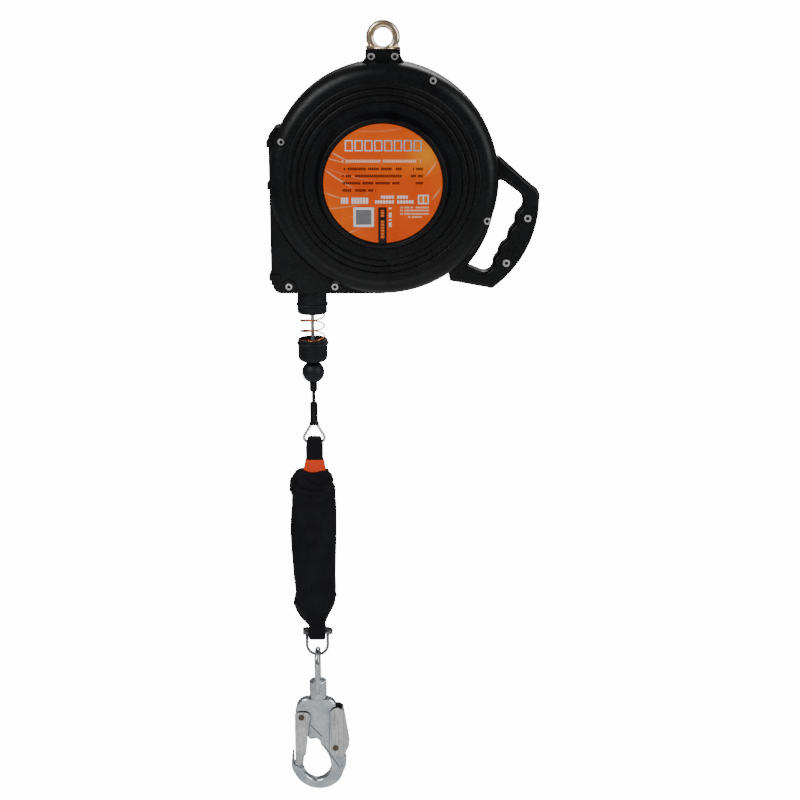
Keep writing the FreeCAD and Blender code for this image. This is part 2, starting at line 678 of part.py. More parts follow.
def frame_and_brake():
    """Plates, main shaft, slipping ratchet brake and the spring that winds the cable in."""
    centre = at_drum(0, 0)
    node("front_frame_plate", frame_plate(-1))
    node("rear_frame_plate", frame_plate(1))
    outside = PLATE_DEPTH + PLATE_THICKNESS
    shaft = rod(centre, REAR, SHAFT_RADIUS, -PLATE_DEPTH, PLATE_DEPTH)
    shaft = shaft.fuse(rod(centre, REAR, SHAFT_END_RADIUS, -outside - 14, outside + 14))
    node("main_shaft", shaft.removeSplitter())
    nuts = []
    for side in (-1, 1):
        nut = hexagon(centre, Vector(0, side, 0), 10.9, outside, outside + 10)
        nuts.append(nut.cut(rod(centre, REAR, SHAFT_END_RADIUS + 0.01, -outside - 20, outside + 20)))
    node("shaft_nuts", *nuts)

    face = PLATE_DEPTH
    node("brake_linings",
         ring(centre, FRONT, TOOTH_ROOT_RADIUS + 3, RING_OUTER, face - LINING, face),
         ring(centre, FRONT, TOOTH_ROOT_RADIUS + 8, RING_OUTER, face - 2 * LINING - RING_THICKNESS,
              face - LINING - RING_THICKNESS))
    ring_face = face - LINING
    ratchet = rod(centre, FRONT, RING_OUTER, ring_face - RING_THICKNESS, ring_face)
    ratchet = ratchet.fuse(rod(centre, FRONT, TOOTH_ROOT_RADIUS + 6.5, ring_face - 6, ring_face))
    node("ratchet_ring", ratchet.cut(toothed_hole(ring_face - 7, ring_face + 1)).removeSplitter())
    clamp_face = ring_face - RING_THICKNESS - LINING
    clamp = ring(centre, FRONT, TOOTH_ROOT_RADIUS + 7.5, PLATE_RADIUS, clamp_face - 2.0, clamp_face)
    bolts = []
    for place in brake_bolt_places():
        clamp = clamp.cut(rod(place, FRONT, 2.0 + SCREW_FIT, clamp_face - 3, clamp_face + 3))
        head = hexagon(place, FRONT, 4.0, outside, outside + 2.8)
        bolts.append(head.fuse(rod(place, FRONT, 2.0, clamp_face - 2.0, outside + 1)))
    node("brake_clamp_ring", clamp)
    node("brake_bolts", *bolts)

    low, high = -4.0, FLANGE_FACE - 5
    arbor = ring(centre, REAR, SHAFT_RADIUS + 0.01, SPRING_INNER - SEAT_GAP, low, high + 3)
    node("spring_arbor", arbor)
    node("power_spring", spiral_strip(low + 0.5, high))
    cover = turned(
        centre, REAR, (SHAFT_RADIUS + 0.1, high + 3.2),
        ((CORE_BORE - 2.0, high + 3.2),),
        ((CORE_BORE - 2.0, high + 5.0),),
        ((HUB_RADIUS, high + 5.0),),
        ((HUB_RADIUS, PLATE_DEPTH),),
        ((SHAFT_RADIUS + 0.1, PLATE_DEPTH),),
    )
    node("spring_cover", cover)


def spiral_strip(low, high):
    """Flat coiled strip of the winding spring."""
    def side_points(offset):
        count = SPRING_TURNS * 10
        points = []
        for i in range(count + 1):
            angle = 2 * math.pi * SPRING_TURNS * i / count
            radius = SPRING_INNER + offset + (SPRING_OUTER - SPRING_INNER - SPRING_STRIP) * i / count
            points.append(Vector(radius * math.cos(angle), low, AXIS_Z + radius * math.sin(angle)))
        return points

    inner = Part.BSplineCurve()
    inner.interpolate(side_points(0))
    outer = Part.BSplineCurve()
    outer.interpolate(side_points(SPRING_STRIP))
    first, last = inner.toShape(), outer.toShape()
    ends = [Part.LineSegment(first.valueAt(first.LastParameter), last.valueAt(last.LastParameter)).toShape(),
            Part.LineSegment(last.valueAt(last.FirstParameter), first.valueAt(first.FirstParameter)).toShape()]
    wire = Part.Wire(Part.__sortEdges__([first, ends[0], last, ends[1]]))
    return Part.Face(wire).extrude(Vector(0, high - low, 0))


# --- drum ---------------------------------------------------------------------
def drum():
    """Cable drum with its bearing, winding, flanges and centrifugal pawls."""
    centre = at_drum(0, 0)
    inner_hub = SHAFT_RADIUS + RUN_FIT + BUSH_WALL
    hub_front = PLATE_DEPTH - 1.5
    core = turned(
        centre, FRONT, (inner_hub, 5.0),
        ((HUB_RADIUS, 5.0),),
        ((HUB_RADIUS, FLANGE_FACE - WEB_THICKNESS),),
        ((CORE_BORE, FLANGE_FACE - WEB_THICKNESS),),
        ((CORE_BORE, -FLANGE_FACE),),
        ((CORE_RADIUS, -FLANGE_FACE),),
        ((CORE_RADIUS, FLANGE_FACE),),
        ((HUB_RADIUS, FLANGE_FACE),),
        ((HUB_RADIUS, hub_front),),
        ((inner_hub, hub_front),),
    )
    pins = []
    for i in range(PAWL_COUNT):
        place = pawl_pivot(i)
        core = core.cut(rod(place, FRONT, PAWL_PIN_RADIUS + 0.01, FLANGE_FACE - WEB_THICKNESS - 1, FLANGE_FACE + 1))
        pin = rod(place, FRONT, PAWL_PIN_RADIUS, FLANGE_FACE - WEB_THICKNESS, hub_front - 0.6)
        pins.append(pin.fuse(rod(place, FRONT, PAWL_PIN_RADIUS + 1.6, hub_front - 1.4, hub_front - 0.4)))
    node("drum_core", core)
    node("pawl_pins", *pins)
    node("drum_bush", ring(centre, FRONT, SHAFT_RADIUS + RUN_FIT, inner_hub - 0.01, 5.0, hub_front))
    for name, side in (("drum_front_flange", FRONT), ("drum_rear_flange", REAR)):
        flange = ring(centre, side, CORE_BORE, FLANGE_RADIUS, FLANGE_FACE, FLANGE_FACE + FLANGE_THICKNESS)
        node(name, flange)
    node("cable_winding", winding())
    anchor_low = FLANGE_FACE + FLANGE_THICKNESS
    node("cable_anchor", rod(at_drum(0, -CORE_RADIUS - 6), REAR, 4.2, anchor_low, anchor_low + 6))


def winding():
    """Wound cable as one body: straight layers with a rounded rib for each turn of the outer layer."""
    start = -WIND_TURNS * CABLE_RADIUS
    base = WIND_RADIUS - 0.3
    steps = []
    for i in range(WIND_TURNS):
        y = start + 2 * CABLE_RADIUS * i
        steps.append(((base + CABLE_RADIUS, y + CABLE_RADIUS), (base, y + 2 * CABLE_RADIUS)))
    steps.append(((CORE_RADIUS + 0.1, -start),))
    steps.append(((CORE_RADIUS + 0.1, start),))
    return turned(at_drum(0, 0), REAR, (base, start), *steps)


def pawl_pivot(i):
    """Pivot of one pawl, from the drum axis."""
    angle = math.radians(90 + 360 / PAWL_COUNT * i)
    return at_drum(PAWL_PIVOT_RADIUS * math.cos(angle), PAWL_PIVOT_RADIUS * math.sin(angle))


def pawls():
    """Pawls that swing out by centrifugal force; each points the way the drum pays out."""
    low = FLANGE_FACE + FLANGE_THICKNESS + 0.8
    for i in range(PAWL_COUNT):
        # drawn for a pivot at the top of the drum, leading to the left (paying out is to the left there)
        blank = slab((6.0, 5.2), [
            ((8.2, 0), (6.0, -6.0)),
            ((-4, -7.2),),
            ((-20.5, -2.0),),
            ((-24.0, 2.2),),
            ((-21.5, 4.6),),
            ((-8, 6.2), (6.0, 5.2)),
        ], -low - PAWL_THICKNESS, -low, z=AXIS_Z + PAWL_PIVOT_RADIUS)
        pivot = at_drum(0, PAWL_PIVOT_RADIUS)
        blank = blank.cut(rod(pivot, FRONT, PAWL_PIN_RADIUS + RUN_FIT, low - 1, low + PAWL_THICKNESS + 1))
        blank.rotate(at_drum(0, 0), FRONT, 360 / PAWL_COUNT * i)
        node("pawl_%d" % (i + 1), blank)


# --- bumper -------------------------------------------------------------------
def bumper():
    """Rubber cups round the coil spring under the outlet."""
    centre = Vector(CABLE_X, 0, 0)
    top = BOX_BOTTOM - SEAT_GAP
    neck = CUP_RADIUS - 4 - SEAT_GAP
    flange_low = FLOOR_TOP + SEAT_GAP
    bore = CABLE_RADIUS + 0.8
    bead = UPPER_CUP_BOTTOM + 11
    upper = turned(
        centre, UP, (bore, UPPER_CUP_BOTTOM + 12),
        ((CUP_BORE, UPPER_CUP_BOTTOM + 12),),
        ((CUP_BORE, UPPER_CUP_BOTTOM),),
        ((CUP_RADIUS - 1.5, UPPER_CUP_BOTTOM),),
        ((CUP_RADIUS - 0.4, UPPER_CUP_BOTTOM + 0.5), (CUP_RADIUS, UPPER_CUP_BOTTOM + 2)),
        ((CUP_RADIUS, bead - 2),),
        ((CUP_RADIUS + BEAD_PROUD, bead), (CUP_RADIUS, bead + 2)),
        ((CUP_RADIUS, top),),
        ((neck, top),),
        ((neck, flange_low),),
        ((CUP_RADIUS - 1.5, flange_low),),
        ((CUP_RADIUS - 1.5, flange_low + 3.5),),
        ((bore, flange_low + 3.5),),
    )
    node("upper_bumper", upper)
    guide_low = flange_low + 3.5
    guide = turned(
        centre, UP, (CABLE_RADIUS + 0.5, guide_low),
        ((9, guide_low),),
        ((9, guide_low + 10),),
        ((CABLE_RADIUS + 4, guide_low + 10),),
        ((CABLE_RADIUS + 1.4, guide_low + 8.6), (CABLE_RADIUS + 0.5, guide_low + 6)),
    )
    node("cable_guide", guide)

    z1 = LOWER_CUP_TOP
    z0 = z1 - LOWER_CUP_HEIGHT
    bead = z1 - 5.4
    floor = z1 - 13.0
    lower = turned(
        centre, UP, (bore, floor),
        ((CUP_BORE, floor),),
        ((CUP_BORE, z1),),
        ((CUP_RADIUS - 0.9, z1),),
        ((CUP_RADIUS - 0.2, z1 - 0.4), (CUP_RADIUS, z1 - 1.2)),
        ((CUP_RADIUS, bead + 2),),
        ((CUP_RADIUS + BEAD_PROUD, bead), (CUP_RADIUS, bead - 2)),
        ((CUP_RADIUS, z0 + 7.5),),
        ((CUP_RADIUS - 1.2, z0 + 2.6), (CUP_RADIUS - 5.0, z0)),
        ((bore, z0),),
    )
    node("lower_bumper", lower)
    node("bumper_washer", ring(centre, UP, bore + 0.5, CUP_BORE - 0.3, floor, floor + 1.5))
    node("bumper_spring", coil_spring(floor + 1.5 + SEAT_GAP, UPPER_CUP_BOTTOM + 12 - SEAT_GAP))


def coil_spring(low, high):
    """Open coil spring standing on the cable's axis."""
    height = high - low - 2 * SPRING_WIRE
    count = round(height / SPRING_PITCH * 12)
    points = []
    for i in range(count + 1):
        angle = 2 * math.pi * height / SPRING_PITCH * i / count
        x = CABLE_X + SPRING_COIL_RADIUS * math.cos(angle)
        y = SPRING_COIL_RADIUS * math.sin(angle)
        points.append(Vector(x, y, low + SPRING_WIRE + height * i / count))
    curve = Part.BSplineCurve()
    curve.interpolate(points)
    return swept(Part.Wire(curve.toShape()), SPRING_WIRE)


# --- cable end ----------------------------------------------------------------
def line_end():
    """Stop ball, collar, straight cable, swaged sleeve and the loop for the absorber."""
    centre = Vector(CABLE_X, 0, 0)
    ball = Part.makeSphere(BALL_RADIUS, Vector(CABLE_X, 0, BALL_Z))
    node("stop_ball", ball.cut(rod(centre, UP, CABLE_RADIUS + RUN_FIT, BALL_Z - 20, BALL_Z + 20)))
    bore = CABLE_RADIUS + RUN_FIT
    top = BALL_Z - BALL_RADIUS - 0.05
    node("ball_collar", turned(
        centre, UP, (bore, top - 11.6),
        ((COLLAR_TUBE_RADIUS - 1.8, top - 11.6),),
        ((COLLAR_TUBE_RADIUS, top - 9.4),),
        ((COLLAR_TUBE_RADIUS, top),),
        ((bore, top),),
    ))
    cable_top = AXIS_Z - CABLE_TOP_DROP
    cable_bottom = SLEEVE_BOTTOM + 8.5
    node("lifeline_cable", rod(centre, UP, CABLE_RADIUS, cable_bottom, cable_top))
    sleeve = turned(
        centre, UP, (bore, cable_bottom),
        ((0, cable_bottom),),
        ((0, SLEEVE_BOTTOM),),
        ((6.0, SLEEVE_BOTTOM),),
        ((6.4, SLEEVE_BOTTOM + 0.6), (6.0, SLEEVE_BOTTOM + 1.6)),
        ((SLEEVE_RADIUS, SLEEVE_BOTTOM + 5.6),),
        ((SLEEVE_RADIUS, SLEEVE_TOP - 1.2),),
        ((SLEEVE_RADIUS - 0.3, SLEEVE_TOP - 0.3), (SLEEVE_RADIUS - 1.0, SLEEVE_TOP)),
        ((bore, SLEEVE_TOP),),
    )
    node("swage_sleeve", sleeve)
    node("end_loop", swept(loop_path(), LOOP_WIRE))


def loop_path():
    """Teardrop path of the end loop, open inside the sleeve."""
    corner_x = LOOP_HALF_WIDTH - LOOP_CORNER
    corner_z = LOOP_BAR_Z + LOOP_CORNER
    tilt = math.radians(30)
    touch_x = corner_x + LOOP_CORNER * math.cos(tilt)
    touch_z = corner_z + LOOP_CORNER * math.sin(tilt)
    top_z = SLEEVE_BOTTOM + 3.0
    top_x = touch_x - (top_z - touch_z) * math.tan(tilt)
    slant = LOOP_CORNER * math.sin(math.radians(30))
    far = LOOP_CORNER * math.cos(math.radians(30))
    edges = []

    def at(x, z):
        return Vector(CABLE_X + x, 0, z)

    edges.append(Part.LineSegment(at(top_x, top_z), at(touch_x, touch_z)))
    edges.append(Part.Arc(at(touch_x, touch_z), at(corner_x + far, corner_z - slant), at(corner_x, LOOP_BAR_Z)))
    edges.append(Part.LineSegment(at(corner_x, LOOP_BAR_Z), at(-corner_x, LOOP_BAR_Z)))
    edges.append(Part.Arc(at(-corner_x, LOOP_BAR_Z), at(-corner_x - far, corner_z - slant),
                          at(-touch_x, touch_z)))
    edges.append(Part.LineSegment(at(-touch_x, touch_z), at(-top_x, top_z)))
    return Part.Wire([e.toShape() for e in edges])


# --- energy absorber ----------------------------------------------------------
def absorber():
    """Folded end straps, tear pack and the fabric pouch round it."""
    x0, x1 = CABLE_X - STRAP_HALF_WIDTH, CABLE_X + STRAP_HALF_WIDTH
    fold = side_slab((-STRAP_HALF_DEPTH, STRAP_END), [
        ((STRAP_HALF_DEPTH, STRAP_END),),
        ((STRAP_HALF_DEPTH, LOOP_BAR_Z - 12),),
        ((STRAP_FOLD, LOOP_BAR_Z),),
        ((0, LOOP_BAR_Z + STRAP_FOLD), (-STRAP_FOLD, LOOP_BAR_Z)),
        ((-STRAP_HALF_DEPTH, LOOP_BAR_Z - 12),),
    ], x0, x1)
    narrow = LOOP_HALF_WIDTH - 2 * LOOP_WIRE
    shape = slab((-STRAP_HALF_WIDTH, STRAP_END), lines([
        (STRAP_HALF_WIDTH, STRAP_END),
        (STRAP_HALF_WIDTH, LOOP_BAR_Z - 4.5),
        (narrow, LOOP_BAR_Z + 3.2),
        (narrow - 0.6, LOOP_BAR_Z + STRAP_FOLD),
        (-narrow + 0.6, LOOP_BAR_Z + STRAP_FOLD),
        (-narrow, LOOP_BAR_Z + 3.2),
        (-STRAP_HALF_WIDTH, LOOP_BAR_Z - 4.5),
    ]), -20, 20, x=CABLE_X)
    upper = fold.common(shape).cut(rod(Vector(CABLE_X, 0, LOOP_BAR_Z), RIGHT, STRAP_HOLE, -20, 20))
    node("upper_strap", upper)

    top = STRAP_END
    pack = slab((-STRAP_HALF_WIDTH, top), lines([
        (STRAP_HALF_WIDTH, top),
        (PACK_HALF_WIDTH - 3, top - 17.4),
        (PACK_HALF_WIDTH, top - 26),
        (PACK_HALF_WIDTH, PACK_BOTTOM),
        (-PACK_HALF_WIDTH, PACK_BOTTOM),
        (-PACK_HALF_WIDTH, top - 26),
        (-PACK_HALF_WIDTH + 3, top - 17.4),
    ]), -20, 20, x=CABLE_X)
    depth = side_slab((-STRAP_HALF_DEPTH, top), lines([
        (STRAP_HALF_DEPTH, top),
        (PACK_HALF_DEPTH, top - 20),
        (PACK_HALF_DEPTH, PACK_BOTTOM),
        (-PACK_HALF_DEPTH, PACK_BOTTOM),
        (-PACK_HALF_DEPTH, top - 20),
    ]), x0 - 20, x1 + 20)
    node("tear_pack", pack.common(depth))

    x0, x1 = CABLE_X - LOWER_STRAP_HALF_WIDTH, CABLE_X + LOWER_STRAP_HALF_WIDTH
    strap_top = PACK_BOTTOM - SEAT_GAP
    lower = side_slab((-STRAP_HALF_DEPTH, strap_top), [
        ((-STRAP_HALF_DEPTH, PIN_Z + 14),),
        ((-LOWER_FOLD, PIN_Z),),
        ((0, PIN_Z - LOWER_FOLD), (LOWER_FOLD, PIN_Z)),
        ((STRAP_HALF_DEPTH, PIN_Z + 14),),
        ((STRAP_HALF_DEPTH, strap_top),),
    ], x0, x1)
    node("lower_strap", lower.cut(rod(Vector(CABLE_X, 0, PIN_Z), RIGHT, PIN_RADIUS + SEAT_GAP, -20, 20)))
    node("pouch", pouch())


def pouch():
    """Fabric sleeve, open round the straps at both ends."""
    bands = (
        (0, 0.55, 0.68), (10, 0.76, 0.84), (27, 0.99, 1.0), (80, 1.0, 1.0), (178, 0.93, 0.97),
        (197, 0.95, 0.92), (211, 0.69, 0.80), (POUCH_TOP - POUCH_BOTTOM, 0.47, 0.66),
    )
    wires = []
    for drop, wide, deep in bands:
        half_x = POUCH_HALF_WIDTH * wide
        half_y = POUCH_HALF_DEPTH * deep
        wires.append(rounded_wire(CABLE_X + POUCH_SHIFT, 0, POUCH_TOP - drop, half_x, half_y, half_y * 0.7))
    outer = Part.makeLoft(wires, True, True)
    room = SEAT_GAP + 0.1
    top = STRAP_END
    half_x, half_y = PACK_HALF_WIDTH + room, PACK_HALF_DEPTH + room
    wide = slab((-STRAP_HALF_WIDTH - 3, top + 5), lines([
        (STRAP_HALF_WIDTH + 3, top + 5),
        (half_x - 2, top - 17.4),
        (half_x, top - 24),
        (half_x, PACK_BOTTOM - 0.1),
        (-half_x, PACK_BOTTOM - 0.1),
        (-half_x, top - 24),
        (-half_x + 2, top - 17.4),
    ]), -half_y, half_y, x=CABLE_X)
    x0, x1 = CABLE_X - LOWER_STRAP_HALF_WIDTH - room, CABLE_X + LOWER_STRAP_HALF_WIDTH + room
    slot = block(x0, x1, -STRAP_HALF_DEPTH - room, STRAP_HALF_DEPTH + room, POUCH_BOTTOM - 30, PACK_BOTTOM)
    flare = side_slab((0, PIN_Z), lines([
        (LOWER_FOLD + room, PIN_Z),
        (STRAP_HALF_DEPTH + room, PIN_Z + 14),
        (-STRAP_HALF_DEPTH - room, PIN_Z + 14),
        (-LOWER_FOLD - room, PIN_Z),
    ]), x0, x1)
    return outer.cut(wide).cut(slot).cut(flare)


# --- shackle and swivel -------------------------------------------------------
def shackle():
    """Bow shackle with a clevis bolt, nut and split pin."""
    centre = Vector(CABLE_X, 0, PIN_Z)
    bow_z = BOW_BOTTOM + BOW_HALF_WIDTH
    ear_z = PIN_Z - 4.0
    path = Part.Wire([
        Part.LineSegment(Vector(CABLE_X - BOW_HALF_WIDTH, 0, ear_z),
                         Vector(CABLE_X - BOW_HALF_WIDTH, 0, bow_z)).toShape(),
        Part.Arc(Vector(CABLE_X - BOW_HALF_WIDTH, 0, bow_z), Vector(CABLE_X, 0, BOW_BOTTOM),
                 Vector(CABLE_X + BOW_HALF_WIDTH, 0, bow_z)).toShape(),
        Part.LineSegment(Vector(CABLE_X + BOW_HALF_WIDTH, 0, bow_z),
                         Vector(CABLE_X + BOW_HALF_WIDTH, 0, ear_z)).toShape(),
    ])
    parts = [swept(path, BOW_WIRE)]
    inner, outer = BOW_HALF_WIDTH - 1.9, BOW_HALF_WIDTH + 1.9
    for side in (-1, 1):
        low, high = sorted((side * inner, side * outer))
        parts.append(rod(centre, RIGHT, EAR_RADIUS, low, high))
    bow = join(parts).cut(rod(centre, RIGHT, PIN_RADIUS + SCREW_FIT, -30, 30))
    node("shackle_bow", bow)
    pin = rod(centre, RIGHT, PIN_RADIUS, -outer - 0.2, outer + 5.0)
    head = hexagon(centre, RIGHT, 5.6, -outer - 3.4, -outer - 0.2)
    split_x = outer + 3.9
    pin = pin.fuse(head).cut(rod(centre + RIGHT * split_x, REAR, 0.75, -9, 9))
    node("shackle_pin", pin.removeSplitter())
    nut = hexagon(centre, RIGHT, 5.4, outer + 0.2, outer + 2.9)
    node("shackle_nut", nut.cut(rod(centre, RIGHT, PIN_RADIUS + 0.02, outer, outer + 5)))
    split = rod(centre + RIGHT * split_x, REAR, 0.6, -6.5, 6.5)
    node("split_pin", split.fuse(Part.makeTorus(1.5, 0.6, centre + RIGHT * split_x + REAR * 7.4, RIGHT)))


def swivel():
    """Bail through the shackle and the barrel that it carries."""
    gap = BARREL_RADIUS + 0.5 + BAIL_WIRE
    bend = BAIL_WIRE + 0.4
    top_z = BOW_BOTTOM + BOW_WIRE + SEAT_GAP + BAIL_WIRE
    arc_z = top_z - gap
    low_z = BAIL_BAR_Z
    s = bend * (1 - math.sqrt(0.5))

    def at(y, z):
        return Vector(CABLE_X, y, z)

    path = Part.Wire([e.toShape() for e in (
        Part.LineSegment(at(0, low_z), at(gap - bend, low_z)),
        Part.Arc(at(gap - bend, low_z), at(gap - s, low_z + s), at(gap, low_z + bend)),
        Part.LineSegment(at(gap, low_z + bend), at(gap, arc_z)),
        Part.Arc(at(gap, arc_z), at(0, top_z), at(-gap, arc_z)),
        Part.LineSegment(at(-gap, arc_z), at(-gap, low_z + bend)),
        Part.Arc(at(-gap, low_z + bend), at(s - gap, low_z + s), at(bend - gap, low_z)),
        Part.LineSegment(at(bend - gap, low_z), at(0, low_z)),
    )])
    node("swivel_bail", swept(path, BAIL_WIRE))
    centre = Vector(CABLE_X, 0, 0)
    bottom = BARREL_TOP - BARREL_HEIGHT
    barrel = turned(
        centre, UP, (STUD_RADIUS + RUN_FIT, bottom),
        ((BARREL_RADIUS - 1, bottom),),
        ((BARREL_RADIUS - 0.3, bottom + 0.3), (BARREL_RADIUS, bottom + 1)),
        ((BARREL_RADIUS, BARREL_TOP - 1),),
        ((BARREL_RADIUS - 0.3, BARREL_TOP - 0.3), (BARREL_RADIUS - 1, BARREL_TOP)),
        ((BARREL_RADIUS - 3.2, BARREL_TOP),),
        ((BARREL_RADIUS - 4.4, BARREL_TOP - 6.5),),
        ((0, BARREL_TOP - 6.5),),
        ((0, bottom + 8.6),),
        ((STUD_RADIUS + 3.2, bottom + 8.6),),
        ((STUD_RADIUS + 3.2, bottom + 3.2),),
        ((STUD_RADIUS + RUN_FIT, bottom + 3.2),),
    )
    node("swivel_barrel", barrel.cut(rod(Vector(CABLE_X, 0, BAIL_BAR_Z), REAR, BAIL_WIRE + 0.1, -20, 20)))


# --- snap hook ----------------------------------------------------------------
def hook():
    """Swivel stud, hook body with its pivots, gate with its spring, and lock lever."""
    barrel_bottom = BARREL_TOP - BARREL_HEIGHT
    top = barrel_bottom - SEAT_GAP
    centre = Vector(CABLE_X, 0, 0)
    stud = rod(centre, UP, STUD_RADIUS, top - 9, barrel_bottom + 3.5)
    head = rod(centre, UP, STUD_RADIUS + 2.6, barrel_bottom + 3.5, barrel_bottom + 7.6)
    low = HOOK_BOTTOM
    body = slab((-14, top), [
        ((10, top),),
        ((18, top - 2.6), (23.5, top - 9)),
        ((24.5, top - 22),),
        ((21, top - 46),),
        ((31, top - 76),),
        ((37, low + 44), (33.5, low + 27)),
        ((22, low + 7.5), (-1, low)),
        ((-21, low + 7), (-33, low + 22)),
        ((-37.2, low + 32), (-37, low + 43)),
        ((-36.3, low + 52),),
        ((-35.2, low + 53.5), (-34.0, low + 52)),
        ((-33.6, low + 38),),
        ((-31, low + 33.6),),
        ((-21.5, low + 31),),
        ((-15.5, low + 18.5), (-3, low + 12.4)),
        ((13, low + 23), (15.8, low + 39)),
        ((13, low + 50), (2, low + 66.5)),
        ((-4, low + 75), (-8.4, low + 73.9)),
        ((-13.2, low + 74.6),),
        ((-14.6, low + 78),),
        ((-14.6, top - 25),),
        ((-16.5, top - 21),),
        ((-29.5, top - 21),),
        ((-30, top - 14),),
        ((-26, top - 6), (-14, top)),
    ], -HOOK_HALF_DEPTH, HOOK_HALF_DEPTH, x=CABLE_X)
    faces = [e for e in body.Edges if all(abs(abs(v.Point.y) - HOOK_HALF_DEPTH) < 1e-6 for v in e.Vertexes)
             and e.CenterOfMass.z < top - 4]
    body = body.makeChamfer(1.0, faces)
    shank_hole = rod(centre, UP, STUD_RADIUS + 0.02, top - 9, top + 1)
    body = body.cut(shank_hole)
    gate_hub = Vector(CABLE_X + GATE_PIVOT[0], 0, GATE_PIVOT[1])
    lever_hub = Vector(CABLE_X + LEVER_PIVOT[0], 0, LEVER_PIVOT[1])
    for hub in (gate_hub, lever_hub):
        body = body.fuse(rod(hub, REAR, HUB_DISC_RADIUS, -HOOK_HALF_DEPTH, HOOK_HALF_DEPTH))
    for hub in (gate_hub, lever_hub):
        body = body.cut(rod(hub, REAR, RIVET_RADIUS + 0.02, -20, 20))
    for x0, z0, x1, z1 in HOOK_GROOVES:
        for side in (-1, 1):
            body = body.cut(groove(x0, z0, x1, z1, side * HOOK_HALF_DEPTH))
    node("hook_body", body.removeSplitter())
    node("swivel_stud", stud.fuse(head).removeSplitter())
    rivets = []
    for hub, half in ((gate_hub, GATE_HALF_DEPTH), (lever_hub, LEVER_HALF_DEPTH)):
        rivet = rod(hub, REAR, RIVET_RADIUS, -half - 0.4, half + 0.4)
        for side in (-1, 1):
            low_y, high_y = sorted((side * (half + 0.3), side * (half + 1.3)))
            rivet = rivet.fuse(rod(hub, REAR, RIVET_RADIUS + 1.4, low_y, high_y))
        rivets.append(rivet.removeSplitter())
    node("hook_rivets", *rivets)
    node("hook_gate", gate(gate_hub))
    node("lock_lever", lever(lever_hub))


def groove(x0, z0, x1, z1, face):
    """Cutter for a shallow groove along a line on a face of the hook."""
    length = math.hypot(x1 - x0, z1 - z0)
    cutter = Part.makeBox(length, 2 * GROOVE_DEPTH, GROOVE_WIDTH_HOOK, Vector(0, face - GROOVE_DEPTH, 0))
    cutter.rotate(Vector(0, face, 0), FRONT, math.degrees(math.atan2(z1 - z0, x1 - x0)))
    cutter.translate(Vector(CABLE_X + x0, 0, z0))
    return cutter


def channel(start, steps, half_depth, room_start, room_steps):
    """Folded sheet part: an outline with a room cut out between its two cheeks."""
    blank = slab(start, steps, -half_depth, half_depth, x=CABLE_X)
    room_half = half_depth - SHEET
    return blank.cut(slab(room_start, room_steps, -room_half, room_half, x=CABLE_X))


def gate(hub):
    """Channel-shaped gate that opens into the hook."""
    px, pz = GATE_PIVOT
    cheeks = channel((px - 9.0, pz + 5.5), [
        ((px - 2, pz + 7.4), (px + 6, pz + 7.2)),
        ((px + 10.6, pz + 4.4), (px + 10.8, pz - 4)),
        ((px + 7.4, pz - 34),),
        ((px + 5.6, pz - 54),),
        ((px + 2.4, pz - 59),),
        ((px + 1.4, pz - 70.6),),
        ((px - 9.2, pz - 70.6),),
    ], GATE_HALF_DEPTH, (px - 20, pz + 12), lines([
        (px + 20, pz + 12),
        (px + 20, pz - 50),
        (px - 20, pz - 50),
    ]))
    skin = slab((px - 9.2, pz - 10.5), lines([
        (px - 7.6, pz - 10.5),
        (px - 7.6, pz - 49),
        (px - 9.2, pz - 49),
    ]), -GATE_HALF_DEPTH, GATE_HALF_DEPTH, x=CABLE_X)
    return join([cheeks, skin]).cut(rod(hub, REAR, RIVET_RADIUS + RUN_FIT, -20, 20))


def lever(hub):
    """Channel-shaped lock lever, pressed towards the hook to free the gate."""
    px, pz = LEVER_PIVOT
    cheeks = channel((px - 6.5, pz + 52.5), [
        ((px, pz + 58.6), (px + 7, pz + 57.6)),
        ((px + 10.6, pz + 55.5),),
        ((px + 18.6, pz + 3.5),),
        ((px + 14, pz - 6.5),),
        ((px + 8, pz - 12.4), (px - 1, pz - 11)),
        ((px - 7, pz - 5), (px - 7.4, pz + 4)),
    ], LEVER_HALF_DEPTH, (px - 30, pz + 70), lines([
        (px + 8.6, pz + 70),
        (px + 9.0, pz + 53.5),
        (px + 16.8, pz + 3.2),
        (px + 12, pz - 30),
        (px - 30, pz - 30),
    ]))
    return cheeks.cut(rod(hub, REAR, RIVET_RADIUS + RUN_FIT, -20, 20))


def main():
    """Build every sub-part and write one file for each."""
    housing()
    anchor()
    frame_and_brake()
    drum()
    pawls()
    bumper()
    line_end()
    absorber()
    shackle()
    swivel()
    hook()
    os.makedirs("parts", exist_ok=True)
    for name, shape in NODES.items():
        shape.exportStep("parts/%s.step" % name)
        print("%-20s %2d solids %10.0f mm3 valid %s" % (name, len(shape.Solids), shape.Volume, shape.isValid()))


main()
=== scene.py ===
import math

import bmesh
import bpy
from mathutils import Matrix, Vector


